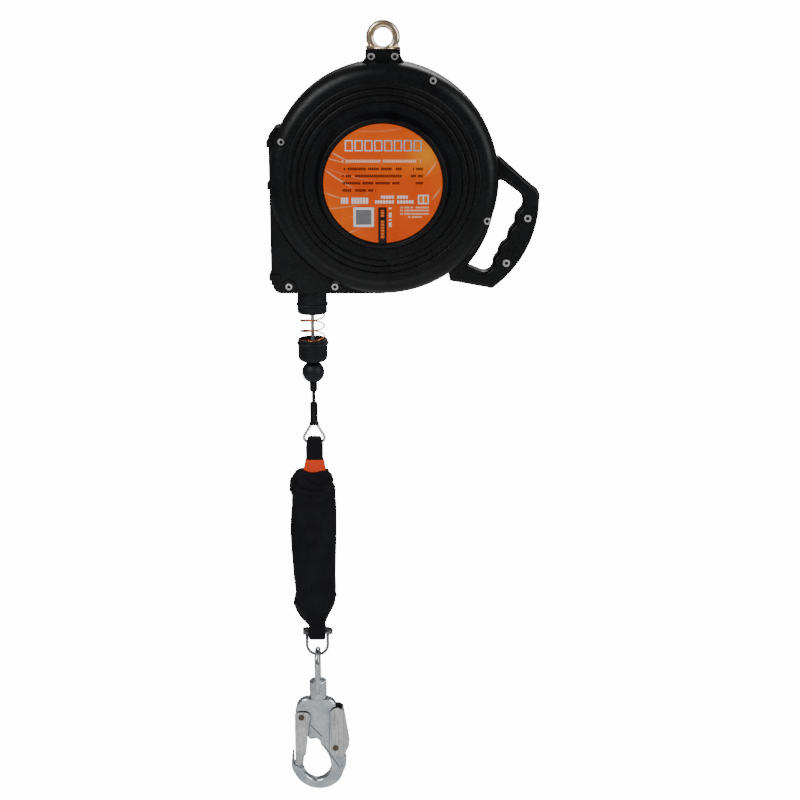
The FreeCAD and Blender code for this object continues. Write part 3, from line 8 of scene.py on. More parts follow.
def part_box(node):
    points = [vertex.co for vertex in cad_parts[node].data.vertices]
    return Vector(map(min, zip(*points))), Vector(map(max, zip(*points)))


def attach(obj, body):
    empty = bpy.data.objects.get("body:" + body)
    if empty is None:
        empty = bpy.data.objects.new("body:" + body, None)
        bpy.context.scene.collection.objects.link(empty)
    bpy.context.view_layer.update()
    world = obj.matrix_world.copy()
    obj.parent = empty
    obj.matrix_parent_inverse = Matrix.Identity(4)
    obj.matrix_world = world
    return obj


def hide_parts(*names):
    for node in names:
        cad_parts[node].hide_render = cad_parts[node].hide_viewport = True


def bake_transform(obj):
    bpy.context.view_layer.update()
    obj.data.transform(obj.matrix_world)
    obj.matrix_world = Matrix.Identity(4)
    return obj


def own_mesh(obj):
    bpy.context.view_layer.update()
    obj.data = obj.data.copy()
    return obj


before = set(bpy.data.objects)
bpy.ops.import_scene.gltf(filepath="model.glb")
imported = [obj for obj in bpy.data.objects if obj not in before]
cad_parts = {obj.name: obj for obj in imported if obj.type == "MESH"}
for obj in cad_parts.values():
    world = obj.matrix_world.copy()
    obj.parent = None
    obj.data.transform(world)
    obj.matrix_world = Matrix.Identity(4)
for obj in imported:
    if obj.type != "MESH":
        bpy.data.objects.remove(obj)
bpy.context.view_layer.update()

# Places in the row frame, in metres, repeated from the CAD source.
CABLE_X = -0.0895
AXIS_Z = -0.167
LOOP_BAR_Z = -0.5072
PIN_Z = -0.7703
STRAP_END = -0.5325
PACK_BOTTOM = -0.728
SPRING_WIRE = 0.00095
SPRING_RADIUS = 0.015
MM = 0.001


# --- node materials -------------------------------------------------------------
class Shader:
    """One node material and short ways to add to it."""

    def __init__(self, name):
        self.material = bpy.data.materials.new(name)
        self.material.use_nodes = True
        self.tree = self.material.node_tree
        self.surface = self.tree.nodes["Principled BSDF"]
        self.place = self.add("ShaderNodeTexCoord").outputs["Object"]

    def add(self, kind, values=None, **settings):
        node = self.tree.nodes.new(kind)
        for key, value in settings.items():
            setattr(node, key, value)
        for key, value in (values or {}).items():
            self.put(node.inputs[key], value)
        return node

    def put(self, socket, value):
        if isinstance(value, bpy.types.NodeSocket):
            self.tree.links.new(value, socket)
        else:
            socket.default_value = value

    def set(self, **values):
        for key, value in values.items():
            self.put(self.surface.inputs[key.replace("_", " ")], value)

    def math(self, operation, a, b=0.0, clamp=False):
        node = self.add("ShaderNodeMath", {0: a, 1: b}, operation=operation)
        node.use_clamp = clamp
        return node.outputs[0]

    def split(self, vector):
        return self.add("ShaderNodeSeparateXYZ", {0: vector}).outputs

    def uv(self, name):
        return self.split(self.add("ShaderNodeUVMap", uv_map=name).outputs[0])

    def noise(self, scale, detail=2.0, roughness=0.5, vector=None, distortion=0.0):
        return self.add("ShaderNodeTexNoise", {
            "Vector": vector or self.place, "Scale": scale, "Detail": detail,
            "Roughness": roughness, "Distortion": distortion}).outputs["Fac"]

    def stretched(self, x, y, z):
        node = self.add("ShaderNodeMapping", {"Vector": self.place, "Scale": (x, y, z)})
        return node.outputs[0]

    def span(self, value, low, high, to_low=0.0, to_high=1.0):
        node = self.add("ShaderNodeMapRange", {
            "Value": value, "From Min": low, "From Max": high, "To Min": to_low, "To Max": to_high})
        return node.outputs["Result"]

    def ramp(self, value, stops):
        node = self.add("ShaderNodeValToRGB", {"Fac": value})
        elements = node.color_ramp.elements
        while len(elements) < len(stops):
            elements.new(0.5)
        for element, (position, color) in zip(elements, stops):
            element.position = position
            element.color = (*color, 1)
        return node.outputs["Color"]

    def mix(self, fac, a, b):
        node = self.add("ShaderNodeMix", data_type="RGBA")
        self.put(node.inputs["Factor"], fac)
        self.put(node.inputs["A"], a if isinstance(a, bpy.types.NodeSocket) else (*a, 1))
        self.put(node.inputs["B"], b if isinstance(b, bpy.types.NodeSocket) else (*b, 1))
        return node.outputs["Result"]

    def edges(self, radius, low=0.02, high=0.12):
        """1 on outer and inner edges, 0 on flats."""
        bevel = self.add("ShaderNodeBevel", {"Radius": radius}, samples=6).outputs[0]
        normal = self.add("ShaderNodeNewGeometry").outputs["Normal"]
        dot = self.add("ShaderNodeVectorMath", {0: bevel, 1: normal}, operation="DOT_PRODUCT")
        return self.span(self.math("SUBTRACT", 1.0, dot.outputs["Value"]), low, high)

    def bump(self, height, distance, strength=1.0):
        values = {"Height": height, "Distance": distance, "Strength": strength}
        if self.surface.inputs["Normal"].is_linked:
            values["Normal"] = self.surface.inputs["Normal"].links[0].from_socket
        self.set(Normal=self.add("ShaderNodeBump", values).outputs[0])


def plastic(name, dark, light, rough, grain=1500.0, edge_highlight_strength=0.35, shine=0.28):
    """Moulded black plastic: cloudy colour, fine grain, edges painted paler in patches as a highlight."""
    s = Shader(name)
    cloud = s.noise(45.0, 4.0, 0.6)
    base = s.mix(s.span(cloud, 0.35, 0.7), dark, light)
    # painted highlight: the edges are painted a paler colour, stronger in some patches than others
    edge_highlight = s.math("MULTIPLY", s.edges(0.0009), s.span(s.noise(160.0, 3.0), 0.4, 0.65, 0.1, edge_highlight_strength))
    s.set(Base_Color=s.mix(edge_highlight, base, tuple(4.5 * c for c in light)), Specular_IOR_Level=shine)
    s.set(Roughness=s.span(s.noise(220.0, 4.0), 0.3, 0.75, rough - 0.07, rough + 0.1))
    s.bump(s.noise(grain, 2.0), 0.0003, 0.5)
    s.bump(s.noise(26.0, 1.0), 0.0016, 0.16)
    return s.material


def metal(name, dark, light, rough, scratches=0.25, tint=None, cloud=70.0, recess=0.0, darkening=(0.45, 0.93),
          streaks=0.0):
    """Plated metal: mottled plating, drawn scratches, edges painted brighter as a highlight and painted shade in
    recesses of that reach.
    """
    s = Shader(name)
    mottle = s.span(s.noise(cloud, 5.0, 0.62), 0.32, 0.7)
    base = s.mix(mottle, dark, light)
    if tint:
        rainbow = s.ramp(s.noise(cloud * 0.8, 2.0, 0.5, distortion=1.2), tint)
        base = s.mix(s.span(s.noise(cloud * 1.7, 3.0), 0.35, 0.65, 0.25, 0.95), base, rainbow)
    if streaks:
        drawn = s.span(s.noise(420.0, 3.0, vector=s.stretched(1.0, 1.0, 0.05)), 0.5, 0.68, 0.0, streaks)
        base = s.mix(drawn, base, tuple(0.35 * c for c in dark))
    # painted highlight: the edges are painted a brighter colour
    bright = s.math("MULTIPLY", s.edges(0.0006), 0.55)
    base = s.mix(bright, base, tuple(min(1.0, 1.25 * c) for c in light))
    if recess:
        # painted shade: the colour is darkened where ambient occlusion finds a recess
        open_air = s.add("ShaderNodeAmbientOcclusion", {"Distance": recess}, samples=8).outputs["AO"]
        base = s.mix(s.span(open_air, *darkening), (0.03, 0.03, 0.034), base)
    s.set(Base_Color=base)
    s.set(Metallic=1.0)
    s.set(Roughness=s.span(s.noise(cloud * 3, 4.0), 0.3, 0.7, rough - 0.08, rough + 0.12))
    s.bump(s.noise(900.0, 2.0, vector=s.stretched(1.0, 1.0, 0.12)), 0.00006, scratches)
    s.bump(s.noise(180.0, 3.0), 0.0002, 0.25)
    return s.material


def webbing(name, dark, light, rough=0.85, pitch=0.0011, sheen=0.08):
    """Woven strap: u runs across it and v along it, in metres."""
    s = Shader(name)
    u, v = s.uv("strap")[0:2]
    across = s.math("SINE", s.math("MULTIPLY", u, math.pi / pitch))
    along = s.math("SINE", s.math("MULTIPLY", v, math.pi / (pitch * 0.8)))
    weave = s.math("MULTIPLY", across, along)
    height = s.math("ADD", s.math("MULTIPLY", weave, 0.5), s.math("ABSOLUTE", across))
    shade = s.math("MULTIPLY", s.span(height, -0.3, 1.3), s.span(s.noise(260.0, 3.0), 0.2, 0.8, 0.6, 1.0))
    s.set(Base_Color=s.mix(shade, dark, light), Roughness=rough, Specular_IOR_Level=0.1)
    s.set(Sheen_Weight=sheen, Sheen_Roughness=0.5)
    s.bump(height, 0.00022, 0.7)
    return s.material


def cloth(name, dark, light):
    """Thin coated nylon cloth: fine weave, soft creases and a faint sheen."""
    s = Shader(name)
    x, y, z = s.split(s.place)[0:3]
    warp = s.math("SINE", s.math("MULTIPLY", s.math("ADD", x, y), 2 * math.pi / 0.0009))
    weft = s.math("SINE", s.math("MULTIPLY", z, 2 * math.pi / 0.0009))
    weave = s.math("MULTIPLY", warp, weft)
    blotch = s.span(s.noise(60.0, 4.0, 0.6), 0.35, 0.7)
    base = s.mix(blotch, dark, light)
    s.set(Base_Color=s.mix(s.span(weave, -1.0, 1.0, 0.0, 0.45), base, tuple(0.4 * c for c in dark)))
    s.set(Roughness=s.span(s.noise(120.0, 3.0), 0.3, 0.7, 0.5, 0.7), Specular_IOR_Level=0.16)
    s.set(Sheen_Weight=0.04, Sheen_Roughness=0.45)
    s.bump(weave, 0.00008, 0.5)
    s.bump(s.noise(150.0, 3.0, 0.55, vector=s.stretched(1.0, 1.0, 0.45)), 0.0012, 0.35)
    return s.material


def rope(name):
    """Wire rope: u runs round it and v along it, in metres; dark and greasy below the ball."""
    s = Shader(name)
    u, v = s.uv("rope")[0:2]
    turn = s.math("ADD", s.math("MULTIPLY", u, 36.0), s.math("MULTIPLY", v, 5200.0))
    wires = s.math("SINE", turn)
    darkening = s.math("MAXIMUM", s.span(v, 0.168, 0.176), s.span(s.noise(300.0, 3.0), 0.62, 0.8))
    bright = s.mix(s.span(wires, -1.0, 1.0), (0.22, 0.23, 0.25), (0.78, 0.8, 0.82))
    dark = s.mix(s.span(wires, -1.0, 1.0), (0.012, 0.012, 0.015), (0.05, 0.05, 0.058))
    s.set(Base_Color=s.mix(darkening, bright, dark), Metallic=0.9)
    s.set(Roughness=s.span(darkening, 0.0, 1.0, 0.32, 0.5))
    s.bump(wires, 0.0001, 0.6)
    return s.material


def winding_rope(name):
    """Wound cable: one groove a turn across the drum and fine wires along each turn."""
    s = Shader(name)
    x, y, z = s.split(s.place)[0:3]
    turn = s.math("ABSOLUTE", s.math("SINE", s.math("MULTIPLY", y, math.pi / 0.0048)))
    angle = s.math("ARCTAN2", x, s.math("SUBTRACT", z, AXIS_Z))
    wires = s.math("SINE", s.math("ADD", s.math("MULTIPLY", angle, 300.0), s.math("MULTIPLY", y, 3500.0)))
    # painted shade: the colour darkens down into the groove between turns
    shade = s.math("MULTIPLY", turn, s.span(wires, -1.0, 1.0, 0.6, 1.0))
    s.set(Base_Color=s.mix(shade, (0.06, 0.06, 0.07), (0.66, 0.68, 0.7)), Metallic=1.0, Roughness=0.35)
    s.bump(turn, 0.0012, 0.9)
    s.bump(wires, 0.0001, 0.5)
    return s.material


# --- the printed label ------------------------------------------------------------
# Every mark is a plain bar, dash row or panel: (x, z) ranges in millimetres from its centre.
DASH_ROWS = {
    "pale": [(-48.7, 45.0, 25.2, 28.6)],
    "dark": [(-48.0, 22.6, 16.2, 19.2), (35.6, 47.4, 16.2, 19.2), (-48.0, 22.6, 7.8, 10.8),
             (33.2, 47.4, 7.8, 10.8), (-48.0, 20.2, -0.7, 2.3), (38.8, 47.4, -0.7, 2.3),
             (-48.0, -8.2, -9.3, -6.3)],
    "white": [(-2.4, 29.6, -17.6, -14.0), (-9.3, 36.4, -23.4, -19.7), (-50.0, -13.6, -23.7, -16.4)],
    "small": [(20.4, 54.6, -29.2, -27.2), (20.4, 54.6, -32.8, -30.8), (20.4, 54.6, -36.8, -34.8),
              (28.4, 46.0, -40.6, -38.6)],
    "column": [(7.0, 10.2, -51.4, -28.4)],
}
WHITE_PANELS = [(-35.3, -10.9, -51.6, -28.1), (41.6, 54.6, -24.1, -13.1)]
INSET_PANELS = [
    ((-32.4, -13.8, -48.8, -31.0), (0.2, 0.2, 0.21)), ((43.0, 47.4, -22.7, -14.5), (0.9, 0.2, 0.02)),
    ((48.8, 53.2, -22.7, -14.5), (0.9, 0.2, 0.02))]
BLACK_BAR = (-5.7, 4.4, -72.0, -28.0)
ROW_START, ROW_PITCH = 4.0, 8.6   # one pattern of dashes to each line of the print
TITLE_BLOCKS = [(-44.8 + 11.6 * i, -35.4 + 11.6 * i, 38.6, 51.6) for i in range(8)]
STREAKS = [  # from and to (x, z), half width, strength
    ((-68.5, 16.6), (-33.7, -5.5), 0.55, 0.8), ((-60.6, 37.1), (-38.0, 26.0), 0.6, 0.75),
    ((-66.9, 30.8), (-40.0, 24.0), 0.45, 0.7), ((-66.9, 19.0), (-12.0, 4.0), 0.3, 0.35),
    ((-69.0, -10.6), (-44.0, -19.0), 0.45, 0.65), ((-66.0, -29.6), (-24.0, -23.5), 0.4, 0.5),
    ((51.4, 9.5), (66.0, 30.0), 0.5, 0.7), ((59.3, -18.1), (70.0, -2.4), 0.55, 0.75),
    ((-50.0, -61.5), (-26.0, -53.0), 0.5, 0.6), ((-22.7, -13.4), (-12.0, -8.0), 0.35, 0.5),
    ((-40.0, -40.0), (-2.0, -26.0), 0.3, 0.35), ((-30.0, 62.0), (26.0, 66.0), 0.6, 0.2),
]


def label_material(name, side):
    """Orange film with pale streaks and generic marks; side is 1 at the front and -1 at the rear."""
    s = Shader(name)
    x, _, z = s.split(s.place)[0:3]
    x = s.math("MULTIPLY", x, 1000.0 * side)
    z = s.math("MULTIPLY", s.math("SUBTRACT", z, AXIS_Z), 1000.0)

    def inside(box):
        dx = s.math("ABSOLUTE", s.math("SUBTRACT", x, (box[0] + box[1]) / 2))
        dz = s.math("ABSOLUTE", s.math("SUBTRACT", z, (box[2] + box[3]) / 2))
        in_x = s.math("LESS_THAN", dx, (box[1] - box[0]) / 2)
        return s.math("MULTIPLY", in_x, s.math("LESS_THAN", dz, (box[3] - box[2]) / 2))

    def any_of(boxes):
        total = inside(boxes[0])
        for box in boxes[1:]:
            total = s.math("MAXIMUM", total, inside(box))
        return total

    def dashes(along, cell, row):
        """Uneven dashes: cells of a row switched on and off."""
        line = s.math("FLOOR", s.math("DIVIDE", s.math("ADD", row, ROW_START), ROW_PITCH))
        where = s.add("ShaderNodeCombineXYZ", {0: s.math("FLOOR", s.math("DIVIDE", along, cell)), 1: line})
        chance = s.add("ShaderNodeTexWhiteNoise", {"Vector": where.outputs[0]}, noise_dimensions="3D")
        gap = s.math("LESS_THAN", s.math("FRACT", s.math("DIVIDE", along, cell)), 0.8)
        return s.math("MULTIPLY", gap, s.math("GREATER_THAN", chance.outputs["Value"], 0.14))

    sweep = s.noise(9.0, 2.0, 0.5, vector=s.stretched(1.0, 1.0, 1.6))
    base = s.ramp(sweep, [(0.3, (0.84, 0.07, 0.0)), (0.5, (0.92, 0.11, 0.0)), (0.72, (0.98, 0.17, 0.001))])
    radius = s.math("SQRT", s.math("ADD", s.math("MULTIPLY", x, x), s.math("MULTIPLY", z, z)))
    glow_x = s.math("SUBTRACT", x, 52.0)
    glow_z = s.math("SUBTRACT", z, 34.0)
    glow = s.math("ADD", s.math("MULTIPLY", glow_x, glow_x), s.math("MULTIPLY", glow_z, glow_z))
    glow = s.math("SQRT", glow)
    base = s.mix(s.span(glow, 26.0, 0.0, 0.0, 0.7), base, (1.0, 0.42, 0.008))
    for (x0, z0), (x1, z1), half, strength in STREAKS:
        length = math.hypot(x1 - x0, z1 - z0)
        ux, uz = (x1 - x0) / length, (z1 - z0) / length
        along = s.math("ADD", s.math("MULTIPLY", s.math("SUBTRACT", x, x0), ux),
                       s.math("MULTIPLY", s.math("SUBTRACT", z, z0), uz))
        off = s.math("SUBTRACT", s.math("MULTIPLY", s.math("SUBTRACT", x, x0), uz),
                     s.math("MULTIPLY", s.math("SUBTRACT", z, z0), ux))
        bow = s.math("MULTIPLY", s.math("MULTIPLY", along, s.math("SUBTRACT", along, length)), 0.0025)
        line = s.span(s.math("ABSOLUTE", s.math("ADD", off, bow)), 0.0, half * 2.2, strength, 0.0)
        ends = s.math("MULTIPLY", s.span(along, -2.0, 6.0), s.span(along, length, length - 14.0))
        base = s.mix(s.math("MULTIPLY", line, ends), base, (1.0, 0.72, 0.38))
    inks = {"pale": (1.0, 0.62, 0.42), "dark": (0.012, 0.005, 0.004), "white": (0.95, 0.93, 0.9),
            "small": (1.0, 0.66, 0.42)}
    for key, ink in inks.items():
        cell = {"white": 3.4, "small": 1.5}.get(key, 2.2)
        mark = s.math("MULTIPLY", any_of(DASH_ROWS[key]), dashes(x, cell, 0.0 if key == "white" else z))
        base = s.mix(s.math("MULTIPLY", mark, 0.94), base, ink)
    mark = s.math("MULTIPLY", any_of(DASH_ROWS["column"]), dashes(z, 2.0, x))
    base = s.mix(mark, base, (0.95, 0.9, 0.85))
    base = s.mix(any_of(WHITE_PANELS), base, (0.9, 0.9, 0.9))
    for box, ink in INSET_PANELS:
        base = s.mix(inside(box), base, ink)
    base = s.mix(inside(BLACK_BAR), base, (0.018, 0.012, 0.012))
    dash = s.math("MULTIPLY", inside((-2.8, 1.5, -66.0, -31.0)), dashes(z, 3.6, x))
    base = s.mix(dash, base, (0.9, 0.16, 0.02))
    title = any_of(TITLE_BLOCKS)
    hole = any_of([(a + 1.3, b - 1.3, c + 1.3, d - 1.3) for a, b, c, d in TITLE_BLOCKS])
    title = s.math("SUBTRACT", title, hole, clamp=True)
    silver = s.mix(s.span(x, -45.0, 47.0), (0.85, 0.9, 0.93), (0.3, 0.46, 0.56))
    base = s.mix(title, base, silver)
    s.set(Base_Color=base, Roughness=s.span(s.noise(90.0, 2.0), 0.3, 0.7, 0.34, 0.46))
    s.set(Specular_IOR_Level=0.25)
    s.bump(s.span(radius, 69.5, 70.5), 0.0002, 0.4)
    s.bump(s.noise(40.0, 2.0), 0.0004, 0.12)
    return s.material


def assign(material, *names):
    for name in names:
        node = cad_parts[name]
        node.data.materials.clear()
        node.data.materials.append(material)


IRIDESCENT = [(0.3, (0.96, 0.88, 0.55)), (0.45, (0.95, 0.72, 0.34)), (0.55, (0.88, 0.52, 0.5)),
              (0.68, (0.6, 0.82, 0.62))]
COPPER = [(0.3, (0.85, 0.24, 0.06)), (0.45, (0.75, 0.1, 0.04)), (0.58, (0.5, 0.2, 0.1)),
          (0.72, (0.85, 0.45, 0.12))]
black_plastic = plastic("black_plastic", (0.002, 0.0022, 0.003), (0.006, 0.0066, 0.008), 0.34)
guide_plastic = plastic("guide_plastic", (0.004, 0.004, 0.005), (0.01, 0.0105, 0.012), 0.5)
black_rubber = plastic("black_rubber", (0.004, 0.0046, 0.006), (0.011, 0.013, 0.017), 0.45,
                       grain=2400.0, edge_highlight_strength=0.2)
ball_rubber = plastic("ball_rubber", (0.006, 0.0075, 0.011), (0.016, 0.02, 0.027), 0.42,
                      grain=2400.0, edge_highlight_strength=0.1)
eye_plating = metal("eye_plating", (0.85, 0.74, 0.48), (1.0, 0.96, 0.82), 0.22, tint=IRIDESCENT, cloud=70.0)
screw_zinc = metal("screw_zinc", (0.7, 0.7, 0.68), (0.92, 0.92, 0.9), 0.36, recess=0.004, darkening=(0.5, 0.84))
sheet_zinc = metal("sheet_zinc", (0.5, 0.51, 0.5), (0.74, 0.75, 0.75), 0.34, tint=IRIDESCENT, cloud=40.0)
bright_zinc = metal("bright_zinc", (0.5, 0.54, 0.58), (0.86, 0.88, 0.9), 0.2)
hook_zinc = metal("hook_zinc", (0.46, 0.53, 0.59), (0.84, 0.89, 0.93), 0.2,
                  scratches=0.3, cloud=55.0, recess=0.004)
gate_zinc = metal("gate_zinc", (0.56, 0.57, 0.57), (0.86, 0.87, 0.87), 0.3,
                  scratches=0.6, cloud=60.0, recess=0.005, streaks=0.55)
rivet_zinc = metal("rivet_zinc", (0.07, 0.05, 0.04), (0.22, 0.18, 0.15), 0.34)
shackle_steel = metal("shackle_steel", (0.09, 0.09, 0.1), (0.3, 0.3, 0.32), 0.26)
black_oxide = metal("black_oxide", (0.012, 0.012, 0.014), (0.04, 0.041, 0.047), 0.36)
aluminium = metal("aluminium", (0.56, 0.57, 0.59), (0.76, 0.77, 0.79), 0.38, cloud=50.0)
bronze = metal("bronze", (0.45, 0.28, 0.12), (0.7, 0.48, 0.22), 0.4)
blue_steel = metal("blue_steel", (0.16, 0.2, 0.28), (0.36, 0.4, 0.48), 0.3)
copper_plating = metal("copper_plating", (0.7, 0.16, 0.05), (0.9, 0.36, 0.16), 0.3, tint=COPPER, cloud=160.0)
lining = plastic("lining", (0.08, 0.06, 0.05), (0.16, 0.13, 0.1), 0.8, grain=900.0)
black_strap = webbing("black_strap", (0.003, 0.003, 0.004), (0.018, 0.018, 0.022))
orange_strap = webbing("orange_strap", (1.0, 0.04, 0.008), (1.0, 0.1, 0.02), sheen=0.3)
pouch_cloth = cloth("pouch_cloth", (0.003, 0.003, 0.005), (0.012, 0.012, 0.018))
wire_rope = rope("wire_rope")
thread = plastic("thread", (0.01, 0.01, 0.012), (0.03, 0.03, 0.034), 0.7, grain=3000.0, edge_highlight_strength=0.0)

assign(black_plastic, "front_shell", "rear_shell", "side_cover")
assign(guide_plastic, "cable_guide")
assign(label_material("front_print", 1), "front_label")
assign(label_material("rear_print", -1), "rear_label")
assign(black_rubber, "upper_bumper", "lower_bumper")
assign(ball_rubber, "stop_ball")
assign(black_oxide, "ball_collar", "swage_sleeve")
assign(eye_plating, "anchor_eye")
assign(screw_zinc, "rim_screws", "neck_screws", "handle_screws", "rear_nuts")
assign(sheet_zinc, "eye_washer", "eye_nut", "yoke_block", "yoke_bolts", "front_frame_plate", "rear_frame_plate",
       "main_shaft", "shaft_nuts", "brake_clamp_ring", "brake_bolts", "spring_arbor", "ratchet_ring", "pawl_pins",
       "drum_front_flange", "drum_rear_flange", "cable_anchor", "pawl_1", "pawl_2", "pawl_3", "bumper_washer")
assign(lining, "brake_linings")
assign(aluminium, "drum_core", "spring_cover")
assign(bronze, "drum_bush")
assign(blue_steel, "power_spring")
assign(winding_rope("wound_rope"), "cable_winding")
assign(bright_zinc, "end_loop", "swivel_bail", "swivel_barrel", "swivel_stud")
assign(shackle_steel, "shackle_bow", "shackle_pin", "shackle_nut", "split_pin")
assign(hook_zinc, "hook_body")
assign(gate_zinc, "hook_gate", "lock_lever")
assign(rivet_zinc, "hook_rivets")


# --- mesh tools --------------------------------------------------------------------
def piece(name, mesh, material, body):
    """Object of the given mesh, riding on a body."""
    thing = bpy.data.objects.new(name, mesh)
    bpy.context.scene.collection.objects.link(thing)
    mesh.materials.append(material)
    for polygon in mesh.polygons:
        polygon.use_smooth = True
    if body:
        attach(thing, body)
    return thing


def grid_mesh(name, rings, uv_name=None, uvs=None, closed=True):
    """Closed skin over rings of points; rings are closed loops and both ends are capped."""
    mesh = bmesh.new()
    layer = mesh.loops.layers.uv.new(uv_name) if uv_name else None
    rows = [[mesh.verts.new(point) for point in ring] for ring in rings]
    count = len(rows[0])
    for i in range(len(rows) - 1):
        for j in range(count):
            k = (j + 1) % count
            face = mesh.faces.new((rows[i][j], rows[i][k], rows[i + 1][k], rows[i + 1][j]))
            if layer:
                for loop, (a, b) in zip(face.loops, ((i, j), (i, j + 1), (i + 1, j + 1), (i + 1, j))):
                    loop[layer].uv = uvs(a, b)
    for row, index in ((rows[0], 0), (rows[-1], len(rows) - 1)):
        face = mesh.faces.new(row if index else row[::-1])
        if layer:
            for loop in face.loops:
                loop[layer].uv = uvs(index, row.index(loop.vert))
    bmesh.ops.recalc_face_normals(mesh, faces=mesh.faces)
    data = bpy.data.meshes.new(name)
    mesh.to_mesh(data)
    mesh.free()
    return data


def stitches(name, rows, body, radius=0.00038, length=0.0026, gap=0.0012):
    """Rows of thread: each row is a list of (point, outward normal) along a seam."""
    mesh = bmesh.new()
    for row in rows:
        travelled = 0.0
        for (a, na), (b, _) in zip(row, row[1:]):
            step = (b - a).length
            travelled += step
            if travelled < length + gap:
                continue
            travelled = 0.0
            along = (b - a).normalized()
            side = along.cross(na).normalized()
            turn = Matrix((side, along, side.cross(along))).transposed().to_4x4()
            shape = Matrix.Diagonal((radius, length / 2, radius, 1))
            where = Matrix.Translation(b + na * radius * 0.4)
            bmesh.ops.create_icosphere(mesh, subdivisions=2, radius=1.0, matrix=where @ turn @ shape)
    data = bpy.data.meshes.new(name)
    mesh.to_mesh(data)
    mesh.free()
    return piece(name, data, thread, body)


def spline_points(control, name):
    """Points along the NURBS spline of these control points."""
    curve = bpy.data.curves.new(name, "CURVE")
    curve.dimensions = "3D"
    spline = curve.splines.new("NURBS")
    spline.points.add(len(control) - 1)
    for point, place in zip(spline.points, control):
        point.co = (*place, 1)
    spline.order_u = 3
    spline.use_endpoint_u = True
    spline.resolution_u = 24
    holder = bpy.data.objects.new(name, curve)
    bpy.context.scene.collection.objects.link(holder)
    bpy.context.view_layer.update()
    mesh = bpy.data.meshes.new_from_object(holder)
    points = [v.co.copy() for v in mesh.vertices]
    bpy.data.objects.remove(holder)
    bpy.data.curves.remove(curve)
    bpy.data.meshes.remove(mesh)
    return points


def resampled(points, step):
    """The same line with points about a step apart."""
    lengths = [0.0]
    for a, b in zip(points, points[1:]):
        lengths.append(lengths[-1] + (b - a).length)
    count = max(2, round(lengths[-1] / step))
    result = []
    k = 0
    for i in range(count + 1):
        want = lengths[-1] * i / count
        while k < len(points) - 2 and lengths[k + 1] < want:
            k += 1
        part = (want - lengths[k]) / max(lengths[k + 1] - lengths[k], 1e-9)
        result.append(points[k].lerp(points[k + 1], part))
    return result


# --- lifeline cable ------------------------------------------------------------------
CABLE_RADIUS = 0.0024
CABLE_ROUTE = [(CABLE_X, 0, z) for z in (-0.227, -0.25, -0.29, -0.34, -0.39, -0.44, -0.4755)]
ROPE_LAY = 0.032


def cable():
    """Six-strand wire rope from just inside the housing to the sleeve."""
    line = resampled(spline_points(CABLE_ROUTE, "cable_route"), 0.0008)
    around = 48
    rings = []
    travelled = 0.0
    for i, point in enumerate(line):
        travelled += (point - line[i - 1]).length if i else 0.0
        twist = 2 * math.pi * travelled / ROPE_LAY
        ring = []
        for j in range(around):
            angle = 2 * math.pi * j / around
            lobe = abs(math.cos(3 * (angle - twist)))
            radius = CABLE_RADIUS * (0.8 + 0.2 * lobe ** 0.6)
            ring.append(point + Vector((radius * math.cos(angle), radius * math.sin(angle), 0)))
        rings.append(ring)
    step = travelled / (len(line) - 1)
    mesh = grid_mesh("lifeline", rings, "rope", lambda i, j: (2 * math.pi * j / around, i * step))
    rope_piece = piece("lifeline", mesh, wire_rope, None)
    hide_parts("lifeline_cable")
    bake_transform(rope_piece)


# --- bumper spring -------------------------------------------------------------------
def bumper_spring():
    """Copper-coloured coil in the place of the CAD spring."""
    low, high = (Vector(c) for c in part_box("bumper_spring"))
    bottom, top = low.z + SPRING_WIRE, high.z - SPRING_WIRE
    turns = (top - bottom) / 0.0133
    rings = []
    steps = round(turns * 48)
    for i in range(steps + 1):
        part = i / steps
        angle = 2 * math.pi * turns * part
        out = Vector((math.cos(angle), math.sin(angle), 0))
        centre = Vector((CABLE_X, 0, bottom + (top - bottom) * part)) + out * SPRING_RADIUS
        up = Vector((0, 0, 1))
        rings.append([centre + (out * math.cos(a) + up * math.sin(a)) * SPRING_WIRE
                      for a in (2 * math.pi * j / 14 for j in range(14))])
    coil = piece("bumper_coil", grid_mesh("bumper_coil", rings), copper_plating, "housing")
    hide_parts("bumper_spring")
    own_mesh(coil)


# --- straps --------------------------------------------------------------------------
def strap_mesh(name, centre_line, widths, thickness, offset=0.0):
    """Band of webbing along a line in a YZ plane; widths gives the half width at each point."""
    rings = []
    lengths = [0.0]
    for a, b in zip(centre_line, centre_line[1:]):
        lengths.append(lengths[-1] + (b - a).length)
    half = thickness / 2
    profile = []
    for k in range(11):
        u = -1 + 2 * k / 10
        profile.append((u, half * (1 - 0.55 * abs(u) ** 8)))
    shape = profile + [(u, -t) for u, t in reversed(profile)]
    for i, point in enumerate(centre_line):
        before = centre_line[max(i - 1, 0)]
        after = centre_line[min(i + 1, len(centre_line) - 1)]
        along = (after - before).normalized()
        normal = Vector((1, 0, 0)).cross(along)
        rings.append([point + Vector((u * widths[i] + offset, 0, 0)) + normal * t for u, t in shape])
    return grid_mesh(name, rings, "strap", lambda i, j: (shape[j % len(shape)][0] * widths[i], lengths[i]))


def arc_points(centre_y, centre_z, radius, start, end, count):
    result = []
    for i in range(count + 1):
        angle = math.radians(start + (end - start) * i / count)
        y, z = centre_y + radius * math.cos(angle), centre_z + radius * math.sin(angle)
        result.append(Vector((CABLE_X, y, z)))
    return result


def smooth_line(points, step=0.0012):
    """Rounds a polyline's corners and resamples it."""
    return resampled(spline_points([tuple(p) for p in points], "strap_line"), step)


